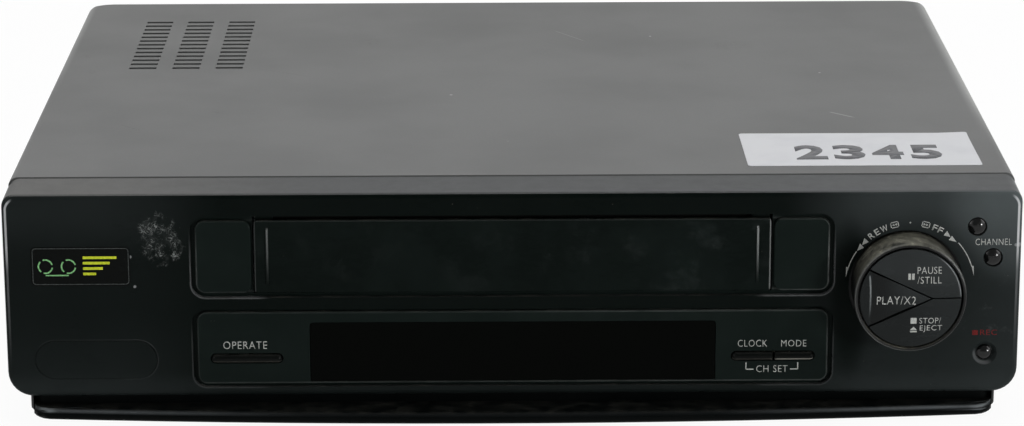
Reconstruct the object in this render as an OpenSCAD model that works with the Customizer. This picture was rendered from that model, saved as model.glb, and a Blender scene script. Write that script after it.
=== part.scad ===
// Front-loading video cassette recorder, midi width, with a shuttle dial.
// Every module is drawn from the front face: X to the right, Y into the case
// and Z up from the table. from_face() then centres the depth on the origin.

/* [Case] */
// Width of the front panel beside the inset panels
side_w = 71.6; // [71:0.2:90]
// Depth from the front face to the rear edge of the top cover
case_d = 316; // [314:1:360]
// Height of the feet
foot_h = 9.5; // [8:0.5:10]
// Radius of the feet
foot_r = 11; // [8:0.5:14]
// Thickness of the rubber pads under the feet
pad_t = 0.8; // [0.5:0.1:1.5]

/* [Front panel] */
// Height of the panel's lower edge above the table
panel_z0 = 11; // [11:0.5:13]
// Depth of the panel's top band
panel_d = 21.2; // [20:0.2:26]
// Wall of the moulded panel
panel_t = 2.4; // [2:0.1:2.8]
// Radius of the upper corners
panel_top_r = 5; // [4:0.5:8]
// Radius of the lower corners
panel_low_r = 9.5; // [6:0.5:12]
// Rounding of the front edges
edge_r = 2; // [1:0.25:3]
// Step from the panel up to the top cover
cover_step = 1; // [0.6:0.1:1.5]
// Width of the grooves round the inset panels
groove_w = 1.7; // [1.2:0.1:2]
// Width of the oval field at the lower left
oval_w = 46.2; // [30:0.2:50]
// Height of the oval field
oval_h = 15.3; // [10:0.1:16]
// Height of the oval field above the panel's lower edge
oval_rise = 7; // [5:0.2:9]
// Depth of the groove round the oval field
oval_depth = 0.25; // [0.15:0.05:0.5]

/* [Cassette door] */
// Height of the door's lower edge above the panel's lower edge
door_rise = 40.4; // [40:0.2:42]
// Clearance of the door over the width of the cassette
door_play = 4.8; // [4:0.2:6]
// Height of the door
door_h = 28.2; // [27.6:0.1:28.6]
// Height of the panel's field above the door
brow_h = 10.4; // [10.4:0.2:28]
// Wall of the door
door_t = 2.2; // [1.6:0.1:2.6]
// Corner radius of the door
door_corner_r = 1.3; // [1.2:0.1:2.4]
// Width of the fixed block at each end of the door
block_w = 20.9; // [16:0.1:26]
// Corner radius of the inset panels
inset_r = 3.6; // [2:0.2:5]
// Distance of the raised ribs from the ends of the door
rib_inset = 4.8; // [4:0.2:16]
// Length of the raised ribs
rib_len = 21; // [10:1:24]
// Radius of the hinge pins
hinge_pin_r = 1.25; // [1:0.05:1.4]

/* [Control panel] */
// Height of the inset's lower edge above the panel's lower edge
inset_rise = 4.7; // [4.5:0.1:5.5]
// Height of the inset
inset_h = 28.3; // [27:0.1:29]
// Width of the inset on each side of the display window
window_side = 42.4; // [41:0.2:58]
// Height of the display window
window_h = 23; // [18:0.2:24]
// Thickness of the display window
window_t = 3.4; // [2.6:0.1:3.6]
// Height of the bar buttons above the inset's lower edge
bar_rise = 10.1; // [9:0.1:12]
// Radius of the bar buttons
bar_r = 1.65; // [1.4:0.05:1.9]
// Distance of the bar buttons from the inset's ends
bar_inset = 5.2; // [4.8:0.1:6]
// Length of the operate bar
operate_len = 26.6; // [16:0.2:28]
// Length of the clock bar
clock_len = 15.25; // [12:0.25:15.5]
// Length of the mode bar
mode_len = 14.75; // [12:0.25:15]

/* [Buttons] */
// Travel of every button
press = 0.8; // [0.6:0.1:0.9]
// Radius of the channel buttons
channel_r = 3.3; // [2.8:0.1:3.8]
// Radius of the record button
rec_r = 2.7; // [2.2:0.1:3]
// Radius of the dish round the record button
rec_dish_r = 4.6; // [4.2:0.1:5.2]

/* [Shuttle dial] */
// Distance of the dial's axis from the inset panels
dial_side = 28.7; // [28.6:0.1:30.4]
// Height of the dial above the panel's lower edge
dial_rise = 42.3; // [41:0.1:43]
// Radius of the ring where it leaves the panel
ring_base_r = 20.4; // [20.2:0.1:20.8]
// Gap between the ring and the panel round it
ring_gap = 1.1; // [0.8:0.1:1.3]
// Radius of the ring at its lip
ring_lip_r = 20.8; // [20.5:0.1:21]
// Inner radius of the ring
ring_bore_r = 19.5; // [19.3:0.05:19.7]
// Gap between the segments and the ring
knob_gap = 0.75; // [0.4:0.05:1]
// Reach of the ring in front of the panel
ring_out = 16.2; // [14:0.2:17]
// Distance of the wedge's tip from the dial's axis
wedge_tip = 7.9; // [6:0.1:9]
// Half angle of the play wedge
wedge_angle = 24.8; // [22:0.2:28]

/* [Plinth] */
// Clearance of the plinth above the table
plinth_z0 = 2.6; // [2:0.1:4]
// Radius of the plinth's rounded nose
nose_r = 2.4; // [2:0.1:2.8]
// Distance of the plinth's ends from the panel's ends
plinth_inset = 7.8; // [6:0.2:14]
// Reach of the nose in front of the face at the middle
nose_out = 11; // [8:0.5:13]
// Radius of the bowed front in plan
bow_r = 1984; // [1800:10:2600]

/* [Top cover] */
// Thickness of the sheet
cover_t = 0.9; // [0.7:0.1:1.1]
// Radius of the folds along the top
fold_r = 3.6; // [2.5:0.1:5]
// Radius of the rear corners in plan
rear_r = 12; // [8:1:16]
// Width of the rear flange
flange_w = 7; // [4:0.5:9]
// Height of the cover's lower edge above the table
cover_z0 = 12.6; // [11:0.2:14]
// Slots in each column of vents
vent_rows = 13; // [6:1:13]
// Columns of vents
vent_cols = 3; // [1:1:3]
// Pitch of the vent slots
vent_pitch = 7.12; // [6:0.05:7.2]
// Width of a vent slot
vent_w = 3; // [2:0.1:3.4]
// Length of a vent slot
vent_len = 11.5; // [8:0.5:14]

/* [Rear] */
// Inner radius of the aerial socket
aerial_r = 4.76; // [4.7:0.01:4.8]
// Outer radius of the aerial plug
plug_r = 4.72; // [4.65:0.01:4.75]
// Reach of the aerial sockets behind the rear panel
aerial_out = 7.5; // [6:0.5:9]
// Thickness of the rear panel
rear_t = 2; // [1.5:0.1:2.5]

/* [Cassette loader] */
// Width of the cassette
cassette_w = 188; // [187:0.1:189]
// Clearance of the basket over the width of the cassette
basket_play = 3; // [2.4:0.1:3.4]
// Length of the cassette basket
basket_len = 78; // [72:1:80]
// Travel of the loader into the case
load_in = 22; // [18:1:22]
// Travel of the basket down onto the deck
load_down = 18; // [15:0.5:18]
// Thickness of the loader's sheet metal
sheet_t = 1; // [0.8:0.1:1.1]
// Radius of the loader's guide pins
guide_pin_r = 1.5; // [1.3:0.1:1.6]

/* [Tape deck] */
// Distance between the two reel spindles
reel_pitch = 92; // [90:0.5:94]
// Distance of the reel spindles behind the face
reel_y = 80; // [78:0.5:82]
// Radius of the reel turntables
reel_r = 22; // [20:0.2:22.4]
// Radius of the idler tyre
idler_r = 18; // [17:0.1:18]
// Radius of the head drum
drum_r = 31; // [30:0.1:31.2]
// Lean of the head drum
drum_tilt = 5.5; // [4:0.1:6]
// Radius of the capstan shaft
capstan_r = 1.5; // [1.2:0.05:1.7]
// Radius of the pinch roller
pinch_r = 7; // [6:0.1:7.2]
// Travel of the tape guides
guide_travel = 78; // [60:1:80]
// Thickness of the deck plate
deck_t = 1.2; // [1:0.1:1.5]
// Teeth of the mode cam
cam_teeth = 48; // [36:1:48]

/* [Fits] */
// Radial clearance of a shaft in its bore
run_gap = 0.05; // [0.02:0.01:0.1]
// Gap round a button in its opening
button_gap = 0.35; // [0.3:0.05:0.4]
// Gap between pieces that slide or turn past each other
slide_gap = 0.3; // [0.25:0.05:0.35]

/* [Hidden] */
$fn = 96;
tiny = 0.01;

// Widths that follow from the cassette
door_w = cassette_w + door_play;
basket_w = cassette_w + basket_play;
block_x0 = door_w / 2 + groove_w * 0.65;
block_x1 = block_x0 + block_w;
case_w = 2 * (block_x1 + side_w);

// Case datums
door_z0 = panel_z0 + door_rise;
door_z1 = door_z0 + door_h;
panel_top = door_z1 + brow_h;
case_h = panel_top + cover_step;
panel_in_x = case_w / 2 - panel_t;
panel_in_z = panel_z0 + panel_t;
cover_x = case_w / 2 - 0.3;
cover_y0 = panel_d + 0.25;
cover_in_x = cover_x - cover_t;
cover_in_z = case_h - cover_t;
rear_y = case_d - cover_t - slide_gap;
rear_in_y = rear_y - rear_t;
floor_z = foot_h + 1;
floor_t = 2;
chassis_x = cover_in_x - 0.5;
chassis_y0 = panel_d + 4.5;
aerial_y = rear_y + aerial_out;
rear_open_x = cover_x - rear_r - 4;

// Front datums
inset_x = block_x1;
window_x = inset_x - window_side;
rib_x = door_w / 2 - rib_inset;
plinth_x = case_w / 2 - plinth_inset;
inset_z0 = panel_z0 + inset_rise;
inset_z1 = inset_z0 + inset_h;
window_z0 = inset_z0 + 0.9;
window_z1 = window_z0 + window_h;
bar_z = inset_z0 + bar_rise;
dial_x = block_x1 + dial_side;
dial_z = panel_z0 + dial_rise;
back_y = panel_t;
flange_t = 1.6;
flange_y = back_y + flange_t;
door_back_y = 0.3 + door_t;
hinge_y = back_y + 2.6;
hinge_z = door_z1 + 4.4;
slot_x = door_w / 2 + 0.6;
switch_y = 8;
board_t = 1.6;

// Dial datums
face_y = -ring_out - 0.8;
knob_r = ring_bore_r - knob_gap;
skirt_y = face_y + 2.8;
hub_r = ring_bore_r - slide_gap;
hub_front = skirt_y + press + 0.4;
hub_plate_y = back_y + 2.6;
hub_bore = 2.2;
key_y = 12;
ring_flange_r = ring_base_r + ring_gap + 1.2;

// Reach of the whole object along Y, used to centre it
front_reach = face_y;
mid_y = (front_reach + aerial_y) / 2;

// Deck datums
cass_z = door_z0 + 1.2;
deck_z = cass_z - load_down - 6.4;
deck_z0 = deck_z - deck_t;
basket_y = hinge_y + 34.8;
basket_x = basket_w / 2 + sheet_t;
carriage_x = basket_x + 2.2;
housing_x = carriage_x + sheet_t + 1.7;
deck_x = housing_x + sheet_t + 4;
basket_top = cass_z + 27;
drum_y = basket_y + basket_len + load_in + 42.5;
capstan_at = [62, drum_y - 42];
pinch_pivot = [92, drum_y - 24];
pinch_len = 27.6;
pinch_rest = 174;
cam_at = [-58, drum_y - 32];
cam_r = 24;
guide_x = 33;
guide_y = basket_y + basket_len + 8.5;
guide_lean = 7.8;
idler_pivot_y = reel_y + 20;
idler_len = 30;

// Helpers

module from_face() {
    translate([0, -mid_y, 0]) children();
}

module block(a, b) {
    translate(a) cube(b - a);
}

// Extrudes a profile drawn in X and Z from y0 to y1
module along_y(y0, y1) {
    translate([0, y1, 0]) rotate([90, 0, 0]) linear_extrude(y1 - y0) children();
}

// Extrudes a profile drawn in Y and Z from x0 to x1
module along_x(x0, x1) {
    translate([x0, 0, 0]) rotate([90, 0, 90]) linear_extrude(x1 - x0) children();
}

// Extrudes a profile drawn in X and Y from z0 to z1
module along_z(z0, z1) {
    translate([0, 0, z0]) linear_extrude(z1 - z0) children();
}

module rod_x(y, z, r, x0, x1) {
    translate([x0, y, z]) rotate([0, 90, 0]) cylinder(h = x1 - x0, r = r);
}

module rod_y(x, z, r, y0, y1) {
    translate([x, y1, z]) rotate([90, 0, 0]) cylinder(h = y1 - y0, r = r);
}

module rod_z(x, y, r, z0, z1) {
    translate([x, y, z0]) cylinder(h = z1 - z0, r = r);
}

// Turns a profile of radius and reach about the dial's axis
module turned_at(x, z) {
    translate([x, 0, z]) rotate([90, 0, 0]) rotate_extrude() children();
}

// Rectangle with its own radius for the upper and the lower corners
module plate_2d(x0, x1, z0, z1, top_r, low_r) {
    translate([x0, z0 + low_r]) square([x1 - x0, z1 - z0 - low_r - top_r]);
    translate([x0 + top_r, z1 - top_r - tiny]) square([x1 - x0 - 2 * top_r, top_r + tiny]);
    translate([x0 + low_r, z0]) square([x1 - x0 - 2 * low_r, low_r + tiny]);
    for (x = [x0 + top_r, x1 - top_r]) translate([x, z1 - top_r]) circle(top_r);
    for (x = [x0 + low_r, x1 - low_r]) translate([x, z0 + low_r]) circle(low_r);
}

// Plate along Y whose front edges are rounded by e; its top climbs by rise towards the rear
module eased_plate(x0, x1, z0, z1, top_r, low_r, y0, y1, e, rise = 0) {
    hull() {
        for (x = [x0 + top_r, x1 - top_r]) {
            eased_post(x, z1 - top_r, top_r, y0, y1 - 1, e);
            translate([x, y1, z1 - top_r + rise]) rotate([90, 0, 0]) cylinder(h = 1, r = top_r, $fn = 32);
        }
        for (x = [x0 + low_r, x1 - low_r]) eased_post(x, z0 + low_r, low_r, y0, y1, e);
    }
}

// Post along Y whose front rim is rounded in four steps
module eased_post(x, z, r, y0, y1, e) {
    steps = 4;
    for (i = [0:steps - 1]) {
        a = i * 90 / steps;
        b = (i + 1) * 90 / steps;
        h = e * (cos(a) - cos(b));
        translate([x, y0 + e * (1 - cos(a)), z]) rotate([-90, 0, 0])
            cylinder(h = h, r1 = r - e * (1 - sin(a)), r2 = r - e * (1 - sin(b)), $fn = 32);
    }
    translate([x, y1, z]) rotate([90, 0, 0]) cylinder(h = y1 - y0 - e, r = r, $fn = 32);
}

// Front panel and what is set into it

module front_panel() color("#1c1f1f") from_face() {
    difference() {
        union() {
            difference() {
                eased_plate(-case_w / 2, case_w / 2, panel_z0, panel_top, panel_top_r, panel_low_r,
                            0, panel_d, edge_r, 0.5);
                along_y(back_y, panel_d + 1)
                    plate_2d(-panel_in_x, panel_in_x, panel_in_z, panel_top - panel_t,
                             panel_top_r - 2, panel_low_r - panel_t);
            }
            panel_tongue();
            key_boss(case_w / 2 - 9, panel_z0 + 33);
            key_boss(dial_x - 18.6, panel_z0 + 10.5);
            key_boss(case_w / 2 - 8.5, panel_z0 + 8);
        }
        along_y(-1, back_y + 1)
            plate_2d(-block_x1 - groove_w, block_x1 + groove_w, door_z0 - groove_w, door_z1 + groove_w,
                     inset_r + groove_w, inset_r + groove_w);
        along_y(-1, back_y + 1)
            plate_2d(-inset_x - groove_w, inset_x + groove_w,
                     inset_z0 - groove_w * 0.7, inset_z1 + groove_w * 0.7,
                     inset_r + groove_w * 0.8, inset_r + groove_w * 0.8);
        rod_y(dial_x, dial_z, ring_base_r + ring_gap, -1, back_y + 1);
        for (p = [channel_up_at(), channel_down_at()])
            rod_y(p[0], p[1], channel_r + button_gap, -1, back_y + 1);
        rod_y(rec_at()[0], rec_at()[1], rec_r + button_gap, -1, back_y + 1);
        translate([rec_at()[0], -tiny, rec_at()[1]]) rotate([-90, 0, 0])
            cylinder(h = 1.5, r1 = rec_dish_r, r2 = rec_r + button_gap + 0.1);
        oval_groove();
    }
}

// Shallow groove round the oval field at the lower left
module oval_groove() {
    x0 = -case_w / 2 + 10.5;
    x1 = x0 + oval_w;
    z0 = panel_z0 + oval_rise;
    z1 = z0 + oval_h;
    r = oval_h / 2 - tiny;
    g = 0.5;
    difference() {
        along_y(-1, oval_depth) plate_2d(x0, x1, z0, z1, r, r);
        along_y(-2, oval_depth + 1) plate_2d(x0 + g, x1 - g, z0 + g, z1 - g, r - g, r - g);
    }
}

function channel_up_at() = [case_w / 2 - 16.8, dial_z + 22.7];
function channel_down_at() = [case_w / 2 - 10.6, dial_z + 10.7];
function rec_at() = [case_w / 2 - 12.6, dial_z - 26.8];

// Rim that the top cover slides onto
module panel_tongue() {
    x = cover_in_x - 0.3;
    z = cover_in_z - 0.3;
    difference() {
        along_y(panel_d - 0.4, panel_d + 4)
            plate_2d(-x, x, 20, z, fold_r - cover_t, 2);
        along_y(panel_d - 1, panel_d + 5)
            plate_2d(-x + 1.6, x - 1.6, 10, z - 1.6, 1.2, 1);
    }
}

module key_boss(x, z) {
    rod_y(x, z, 2.4, back_y - tiny, key_y);
}

module door_surround() color("#202323") from_face() {
    difference() {
        union() {
            difference() {
                block([-block_x1 - 3.4, back_y, door_z0 - 4],
                      [block_x1 + 3.4, flange_y, panel_top - panel_t - 1]);
                block([-slot_x, back_y - 1, door_z0 - 0.5], [slot_x, flange_y + 1, hinge_z + 1.9]);
                // Clearance round the spring and its long pin
                block([-slot_x - 9, back_y - 1, hinge_z - 2.5], [-slot_x - 1.9, flange_y + 1, hinge_z + 3]);
            }
            end_block(1);
            end_block(-1);
            for (s = [-1, 1]) hinge_ear(s);
        }
        rod_x(hinge_y, hinge_z, hinge_pin_r + run_gap, -slot_x - 4, -slot_x + 1);
        rod_x(hinge_y, hinge_z, hinge_pin_r + run_gap, slot_x - 1, slot_x + 4);
    }
}

module end_block(s) {
    x0 = s > 0 ? block_x0 : -block_x1;
    x1 = s > 0 ? block_x1 : -block_x0;
    eased_plate(x0, x1, door_z0, door_z1, inset_r, inset_r, 0.25, flange_y, 0.7);
}

// Lug beside the slot that carries one hinge pin
module hinge_ear(s) {
    along_x(s > 0 ? slot_x : -slot_x - 2, s > 0 ? slot_x + 2 : -slot_x) {
        translate([hinge_y, hinge_z]) circle(2.5);
        translate([back_y, hinge_z - 2.5]) square([hinge_y - back_y, 5]);
    }
}

module cassette_door() color("#1b1e1e") from_face() {
    z_mid = (door_z0 + door_z1) / 2;
    eased_plate(-door_w / 2, door_w / 2, door_z0, door_z1, door_corner_r, door_corner_r,
                0.3, door_back_y, 0.6);
    for (s = [-1, 1]) {
        // Raised rib on the face
        translate([s * rib_x, 0.7, z_mid - rib_len / 2]) cylinder(h = rib_len, r = 0.9);
        door_arm(s);
    }
    // Stiffening rails moulded on the back, and the return that closes the view over the door
    rail_x = door_w / 2 - 6;
    for (r = [[door_z0 + 3, 1.2], [door_z1 - 6, 1.2], [door_z1 - 1.9, 4.2]])
        block([-rail_x, door_back_y - tiny, r[0]], [rail_x, door_back_y + r[1], r[0] + 1.2]);
}

module door_arm(s) {
    outer = door_w / 2 - 0.5;
    inner = outer - 6.5;
    pin_end = s > 0 ? slot_x + 2.6 : slot_x + 7.6;
    y0 = back_y + 0.5;
    mirror([s > 0 ? 0 : 1, 0, 0]) {
        along_x(inner, outer)
            polygon([[door_back_y - 0.1, door_z1 - 8], [door_back_y + 2, door_z1 - 6],
                     [hinge_y + 1.7, hinge_z - 0.5], [hinge_y, hinge_z], [y0, hinge_z - 1.5],
                     [y0, door_z1 - 1], [door_back_y - 0.1, door_z1 - 1]]);
        rod_x(hinge_y, hinge_z, 1.8, inner, outer);
        rod_x(hinge_y, hinge_z, hinge_pin_r, outer - 1, pin_end);
    }
}

// Helical torsion spring on the left hinge pin
spring_turns = 5;
spring_wire = 0.25;
spring_coil_r = hinge_pin_r + slide_gap + spring_wire;
module door_spring() color("#b9bcc0") from_face() {
    n = spring_turns * 12;
    x0 = -slot_x - 2.4;
    pitch = 0.8;
    path = [for (i = [0:n]) [x0 - i * pitch / 12, hinge_y + spring_coil_r * cos(i * 30 + 30),
                             hinge_z + spring_coil_r * sin(i * 30 + 30)]];
    wire_along_x(path, spring_wire);
}

// Tube of six sides along a path that winds round the X direction
module wire_along_x(path, r) {
    sides = 6;
    n = len(path);
    pts = [for (i = [0:n - 1])
        let (c = [hinge_y, hinge_z], d = [path[i][1] - c[0], path[i][2] - c[1]], u = d / norm(d))
        for (k = [0:sides - 1])
            let (a = k * 360 / sides)
            path[i] + r * [cos(a), u[0] * sin(a), u[1] * sin(a)]];
    side_faces = [for (i = [0:n - 2]) for (k = [0:sides - 1])
        let (a = i * sides + k, b = i * sides + (k + 1) % sides)
        for (f = [[a, b, b + sides], [a, b + sides, a + sides]]) f];
    end_faces = [for (k = [1:sides - 2]) each [[0, k + 1, k],
        [(n - 1) * sides, (n - 1) * sides + k, (n - 1) * sides + k + 1]]];
    polyhedron(points = pts, faces = concat(side_faces, end_faces));
}

module control_panel() color("#1e2121") from_face() {
    difference() {
        union() {
            eased_plate(-inset_x, inset_x, inset_z0, inset_z1, inset_r, inset_r, 0.25, flange_y, 0.6);
            block([-inset_x - 3.5, back_y, inset_z0 - 2], [inset_x + 3.5, flange_y, inset_z1 + 2.5]);
            for (x = [-inset_x + 2, inset_x - 2]) for (z = [inset_z0 + 2.5, inset_z1 - 2.5])
                rod_y(x, z, 2, flange_y - tiny, switch_y + 1);
        }
        along_y(-1, flange_y + 1)
            plate_2d(-window_x - 0.2, window_x + 0.2, window_z0 - 0.2, window_z1 + 0.2, 1.4, 0.6);
        bar_slot(operate_bar());
        bar_slot([clock_bar()[0], mode_bar()[1]]);
    }
}

// Left and right end of each bar button
function operate_bar() = [-inset_x + bar_inset, -inset_x + bar_inset + operate_len];
function mode_bar() = [inset_x - bar_inset - mode_len, inset_x - bar_inset];
function clock_bar() = [mode_bar()[0] - 0.9 - clock_len, mode_bar()[0] - 0.9];

module bar_slot(span) {
    r = bar_r + button_gap;
    along_y(-1, flange_y + 1)
        plate_2d(span[0] - button_gap, span[1] + button_gap, bar_z - r, bar_z + r, r - tiny, r - tiny);
}

module display_window() color("#0b0c0d") from_face() {
    along_y(flange_y - window_t, flange_y + tiny)
        plate_2d(-window_x, window_x, window_z0, window_z1, 1.2, 0.4);
    along_y(flange_y, flange_y + 1.2)
        plate_2d(-window_x - 1.5, window_x + 1.5, window_z0 - 0.7, window_z1 + 1.5, 1, 0.3);
}

// Half-round bar with a captive flange and a plunger
module bar_button(span, left_round, right_round) color("#222525") from_face() {
    nose_y = 0.5;
    a = span[0] + (left_round ? bar_r : 0);
    b = span[1] - (right_round ? bar_r : 0);
    block([a, nose_y, bar_z - bar_r], [b, flange_y + 0.2, bar_z + bar_r]);
    rod_x(nose_y, bar_z, bar_r, a, b);
    if (left_round) bar_end(a, nose_y);
    if (right_round) bar_end(b, nose_y);
    block([left_round ? a - 1 : a, flange_y + 0.1, bar_z - bar_r - 1.2],
          [right_round ? b + 1 : b, flange_y + 0.9, bar_z + bar_r + 1.2]);
    rod_y((a + b) / 2, bar_z, 1.6, flange_y + 0.8, switch_y - 1.1 - press);
}

module bar_end(x, y) {
    rod_y(x, bar_z, bar_r, y, flange_y + 0.2);
    translate([x, y, bar_z]) sphere(bar_r);
}

module operate_button() bar_button(operate_bar(), true, true);
module clock_button() bar_button([clock_bar()[0], clock_bar()[1]], true, false);
module mode_button() bar_button([mode_bar()[0], mode_bar()[1]], false, true);

// Domed round button through the panel wall
module round_button(at, r, nose) color("#191b1b") from_face() {
    cap_r = 1.5 * r;
    intersection() {
        rod_y(at[0], at[1], r, nose, back_y + 0.2);
        translate([at[0], nose + cap_r, at[1]]) sphere(cap_r);
    }
    rod_y(at[0], at[1], r + 0.9, back_y + 0.1, back_y + 0.9);
    rod_y(at[0], at[1], 1.6, back_y + 0.8, key_y - 1.1 - 1 - press);
}

module channel_up_button() {
    round_button(channel_up_at(), channel_r, -0.9);
    color("#9a9c98") from_face() translate([channel_up_at()[0], 0, channel_up_at()[1]])
        for (a = [0, 90]) rotate([0, a, 0]) block([-1.4, -0.98, -0.25], [1.4, -0.3, 0.25]);
}
module channel_down_button() {
    round_button(channel_down_at(), channel_r, -0.9);
    color("#9a9c98") from_face()
        block([channel_down_at()[0] - 1.4, -0.98, channel_down_at()[1] - 0.25],
              [channel_down_at()[0] + 1.4, -0.3, channel_down_at()[1] + 0.25]);
}
module rec_button() round_button(rec_at(), rec_r, -0.3);

// Shuttle dial

module shuttle_ring() color("#20211f") from_face() turned_at(dial_x, dial_z)
    polygon([
        [ring_bore_r, -back_y - 2.1], [ring_flange_r, -back_y - 2.1], [ring_flange_r, -back_y - 0.3],
        [ring_base_r, -back_y - 0.3], [ring_base_r, 0], [ring_base_r - 0.1, ring_out * 0.25],
        [ring_lip_r + 0.1, ring_out * 0.8], [ring_lip_r, ring_out - 0.9],
        [ring_lip_r - 0.15, ring_out - 0.4], [ring_lip_r - 0.4, ring_out - 0.08],
        [(ring_lip_r + ring_bore_r) / 2, ring_out],
        [ring_bore_r + 0.15, ring_out - 0.12], [ring_bore_r, ring_out - 0.4]
    ]);

// Stem of each segment button from the dial's axis
function stem_at(i) = [[-8.5, 0], [5.5, 9.5], [5.5, -9.5]][i];

module dial_hub() color("#2a2d2d") from_face() {
    rim_r = ring_flange_r + 0.6;
    difference() {
        union() {
            turned_at(dial_x, dial_z) polygon([
                [0, -hub_plate_y - 1.5], [rim_r + 1.1, -hub_plate_y - 1.5], [rim_r + 1.1, -back_y],
                [rim_r, -back_y], [rim_r, -hub_plate_y], [hub_r, -hub_plate_y], [hub_r, -hub_front],
                [hub_r - 1.6, -hub_front], [hub_r - 1.6, -hub_front - 6], [0, -hub_front - 6]
            ]);
        }
        // Hollow behind the guide floor, open to the rear
        rod_y(dial_x, dial_z, hub_r - 1.6, hub_front + 9.5, hub_plate_y + 2);
        for (i = [0:2])
            rod_y(dial_x + stem_at(i)[0], dial_z + stem_at(i)[1], hub_bore + run_gap,
                  hub_front, hub_front + 10);
    }
}

// Outline of the disc cut into three by the wedge's two edges and one level cut
module segment_2d(i) {
    g = 0.25;
    far = 40;
    up = [cos(180 - wedge_angle), sin(180 - wedge_angle)];
    down = [up[0], -up[1]];
    tip = [wedge_tip, 0];
    side = g / sin(wedge_angle);
    intersection() {
        circle(knob_r);
        if (i == 0) polygon([tip - [side, 0], tip - [side, 0] + far * up, tip - [side, 0] + far * down]);
        if (i == 1) polygon([tip + [side * 0.4, g], tip + [side * 0.4, g] + far * up + [0, 0.3],
                             [-far, far], [far, far], [far, g]]);
        if (i == 2) polygon([tip + [side * 0.4, -g], [far, -g], [far, -far], [-far, -far],
                             tip + [side * 0.4, -g] + far * down - [0, 0.3]]);
    }
}

module segment_button(i) color("#232626") from_face() {
    dome = 190;
    s = stem_at(i);
    difference() {
        translate([dial_x, 0, dial_z]) intersection() {
            translate([0, skirt_y, 0]) rotate([90, 0, 0]) linear_extrude(skirt_y - face_y) segment_2d(i);
            translate([0, face_y + dome, 0]) sphere(dome, $fn = 360);
        }
        if (i == 0) play_scoop();
    }
    rod_y(dial_x + s[0], dial_z + s[1], hub_bore, skirt_y - tiny, key_y - 1.1 - 1 - press);
    // Clip that keeps the stem in its guide
    rod_y(dial_x + s[0], dial_z + s[1], hub_bore + 1, hub_front + 9.7, hub_front + 10.7);
}

// Shallow finger scoop across the play wedge
module play_scoop() {
    r = 52;
    depth = 0.95;
    rod_z(dial_x - 5.6, face_y - r + depth, r, dial_z - 25, dial_z + 25);
}

module play_button() segment_button(0);
module pause_button() segment_button(1);
module stop_button() segment_button(2);

// Bow-fronted foot under the front panel

module plinth() color("#151717") from_face() {
    z1 = plinth_z0 + 2 * nose_r;
    turn_y = bow_r - nose_out;
    half = asin((plinth_x - 2) / bow_r);
    ring_r = bow_r - nose_r;
    translate([0, turn_y, plinth_z0 + nose_r]) rotate([0, 0, -90 - half])
        rotate_extrude(angle = 2 * half, $fn = 720) translate([ring_r, 0]) circle(nose_r, $fn = 48);
    intersection() {
        translate([0, turn_y, plinth_z0]) cylinder(h = 2 * nose_r, r = ring_r, $fn = 1440);
        block([-plinth_x + 1.2, -nose_out - 5, plinth_z0], [plinth_x - 1.2, 12, z1]);
    }
    // Web up to the panel and a cheek at each end
    block([-plinth_x + 1.2, 3.2, z1 - 1], [plinth_x - 1.2, 12, panel_z0]);
    for (s = [-1, 1]) along_x(s > 0 ? plinth_x - 1.2 : -plinth_x, s > 0 ? plinth_x : -plinth_x + 1.2) {
        translate([-1.4, plinth_z0 + 4]) square([13.4, panel_z0 - plinth_z0 - 4]);
        translate([1.1, plinth_z0 + 1.5]) square([10.9, 3]);
        translate([1.1, plinth_z0 + 4]) circle(2.5);
    }
}

// Case

module top_cover() color("#4a4b4c") from_face() {
    difference() {
        cover_form(cover_x, case_h, cover_y0, case_d, fold_r, rear_r, cover_z0);
        cover_form(cover_in_x, cover_in_z, cover_y0 - 1, case_d - cover_t, fold_r - cover_t,
                   rear_r - cover_t, cover_z0 - 5);
        block([-rear_open_x, case_d - cover_t - 1, cover_z0 - 1],
              [rear_open_x, case_d + 1, case_h - flange_w]);
        for (c = [0:vent_cols - 1]) for (i = [0:vent_rows - 1])
            vent_slot(29.7 - case_w / 2 + c * 18.2, case_d - 124 + i * vent_pitch);
        for (x = rear_screw_x()) rod_y(x, case_h - flange_w / 2, 1.7, case_d - 3, case_d + 1);
    }
}

function rear_screw_x() = [for (i = [-3, -1, 1, 3]) i * (case_w / 2 - 40) / 3];

module vent_slot(x, y) {
    block([x, y, case_h - 3], [x + vent_len, y + vent_w, case_h + 1]);
}

// Solid form of the cover: a folded profile met by a plan with rounded rear corners
module cover_form(x, z, y0, y1, fold, corner, z0) {
    intersection() {
        along_y(y0, y1) {
            translate([-x, z0]) square([2 * x, z - z0 - fold]);
            translate([-x + fold, z - fold - tiny]) square([2 * x - 2 * fold, fold + tiny]);
            for (s = [-1, 1]) translate([s * (x - fold), z - fold]) circle(fold);
        }
        translate([0, 0, z0 - 1]) linear_extrude(z - z0 + 2) {
            translate([-x - 1, y0 - 1]) square([2 * x + 2, y1 - y0 + 1 - corner]);
            translate([-x + corner, y1 - corner - tiny]) square([2 * x - 2 * corner, corner + tiny]);
            for (s = [-1, 1]) translate([s * (x - corner), y1 - corner]) circle(corner);
        }
    }
}

module cover_screws() color("#2b2b2c") from_face() {
    for (x = rear_screw_x()) translate([x, case_d, case_h - flange_w / 2])
        rotate([-90, 0, 0]) pan_screw(cover_t + 3);
}

// Screw whose head sits on z = 0 and whose shank runs down
module pan_screw(shank) {
    difference() {
        intersection() {
            cylinder(h = 1.8, r = 3.4, $fn = 48);
            translate([0, 0, -3.2]) sphere(5, $fn = 48);
        }
        for (a = [0, 90]) rotate(a) block([-1.9, -0.35, 0.9], [1.9, 0.35, 3]);
    }
    translate([0, 0, -shank]) cylinder(h = shank, r = 1.45, $fn = 32);
}

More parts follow.
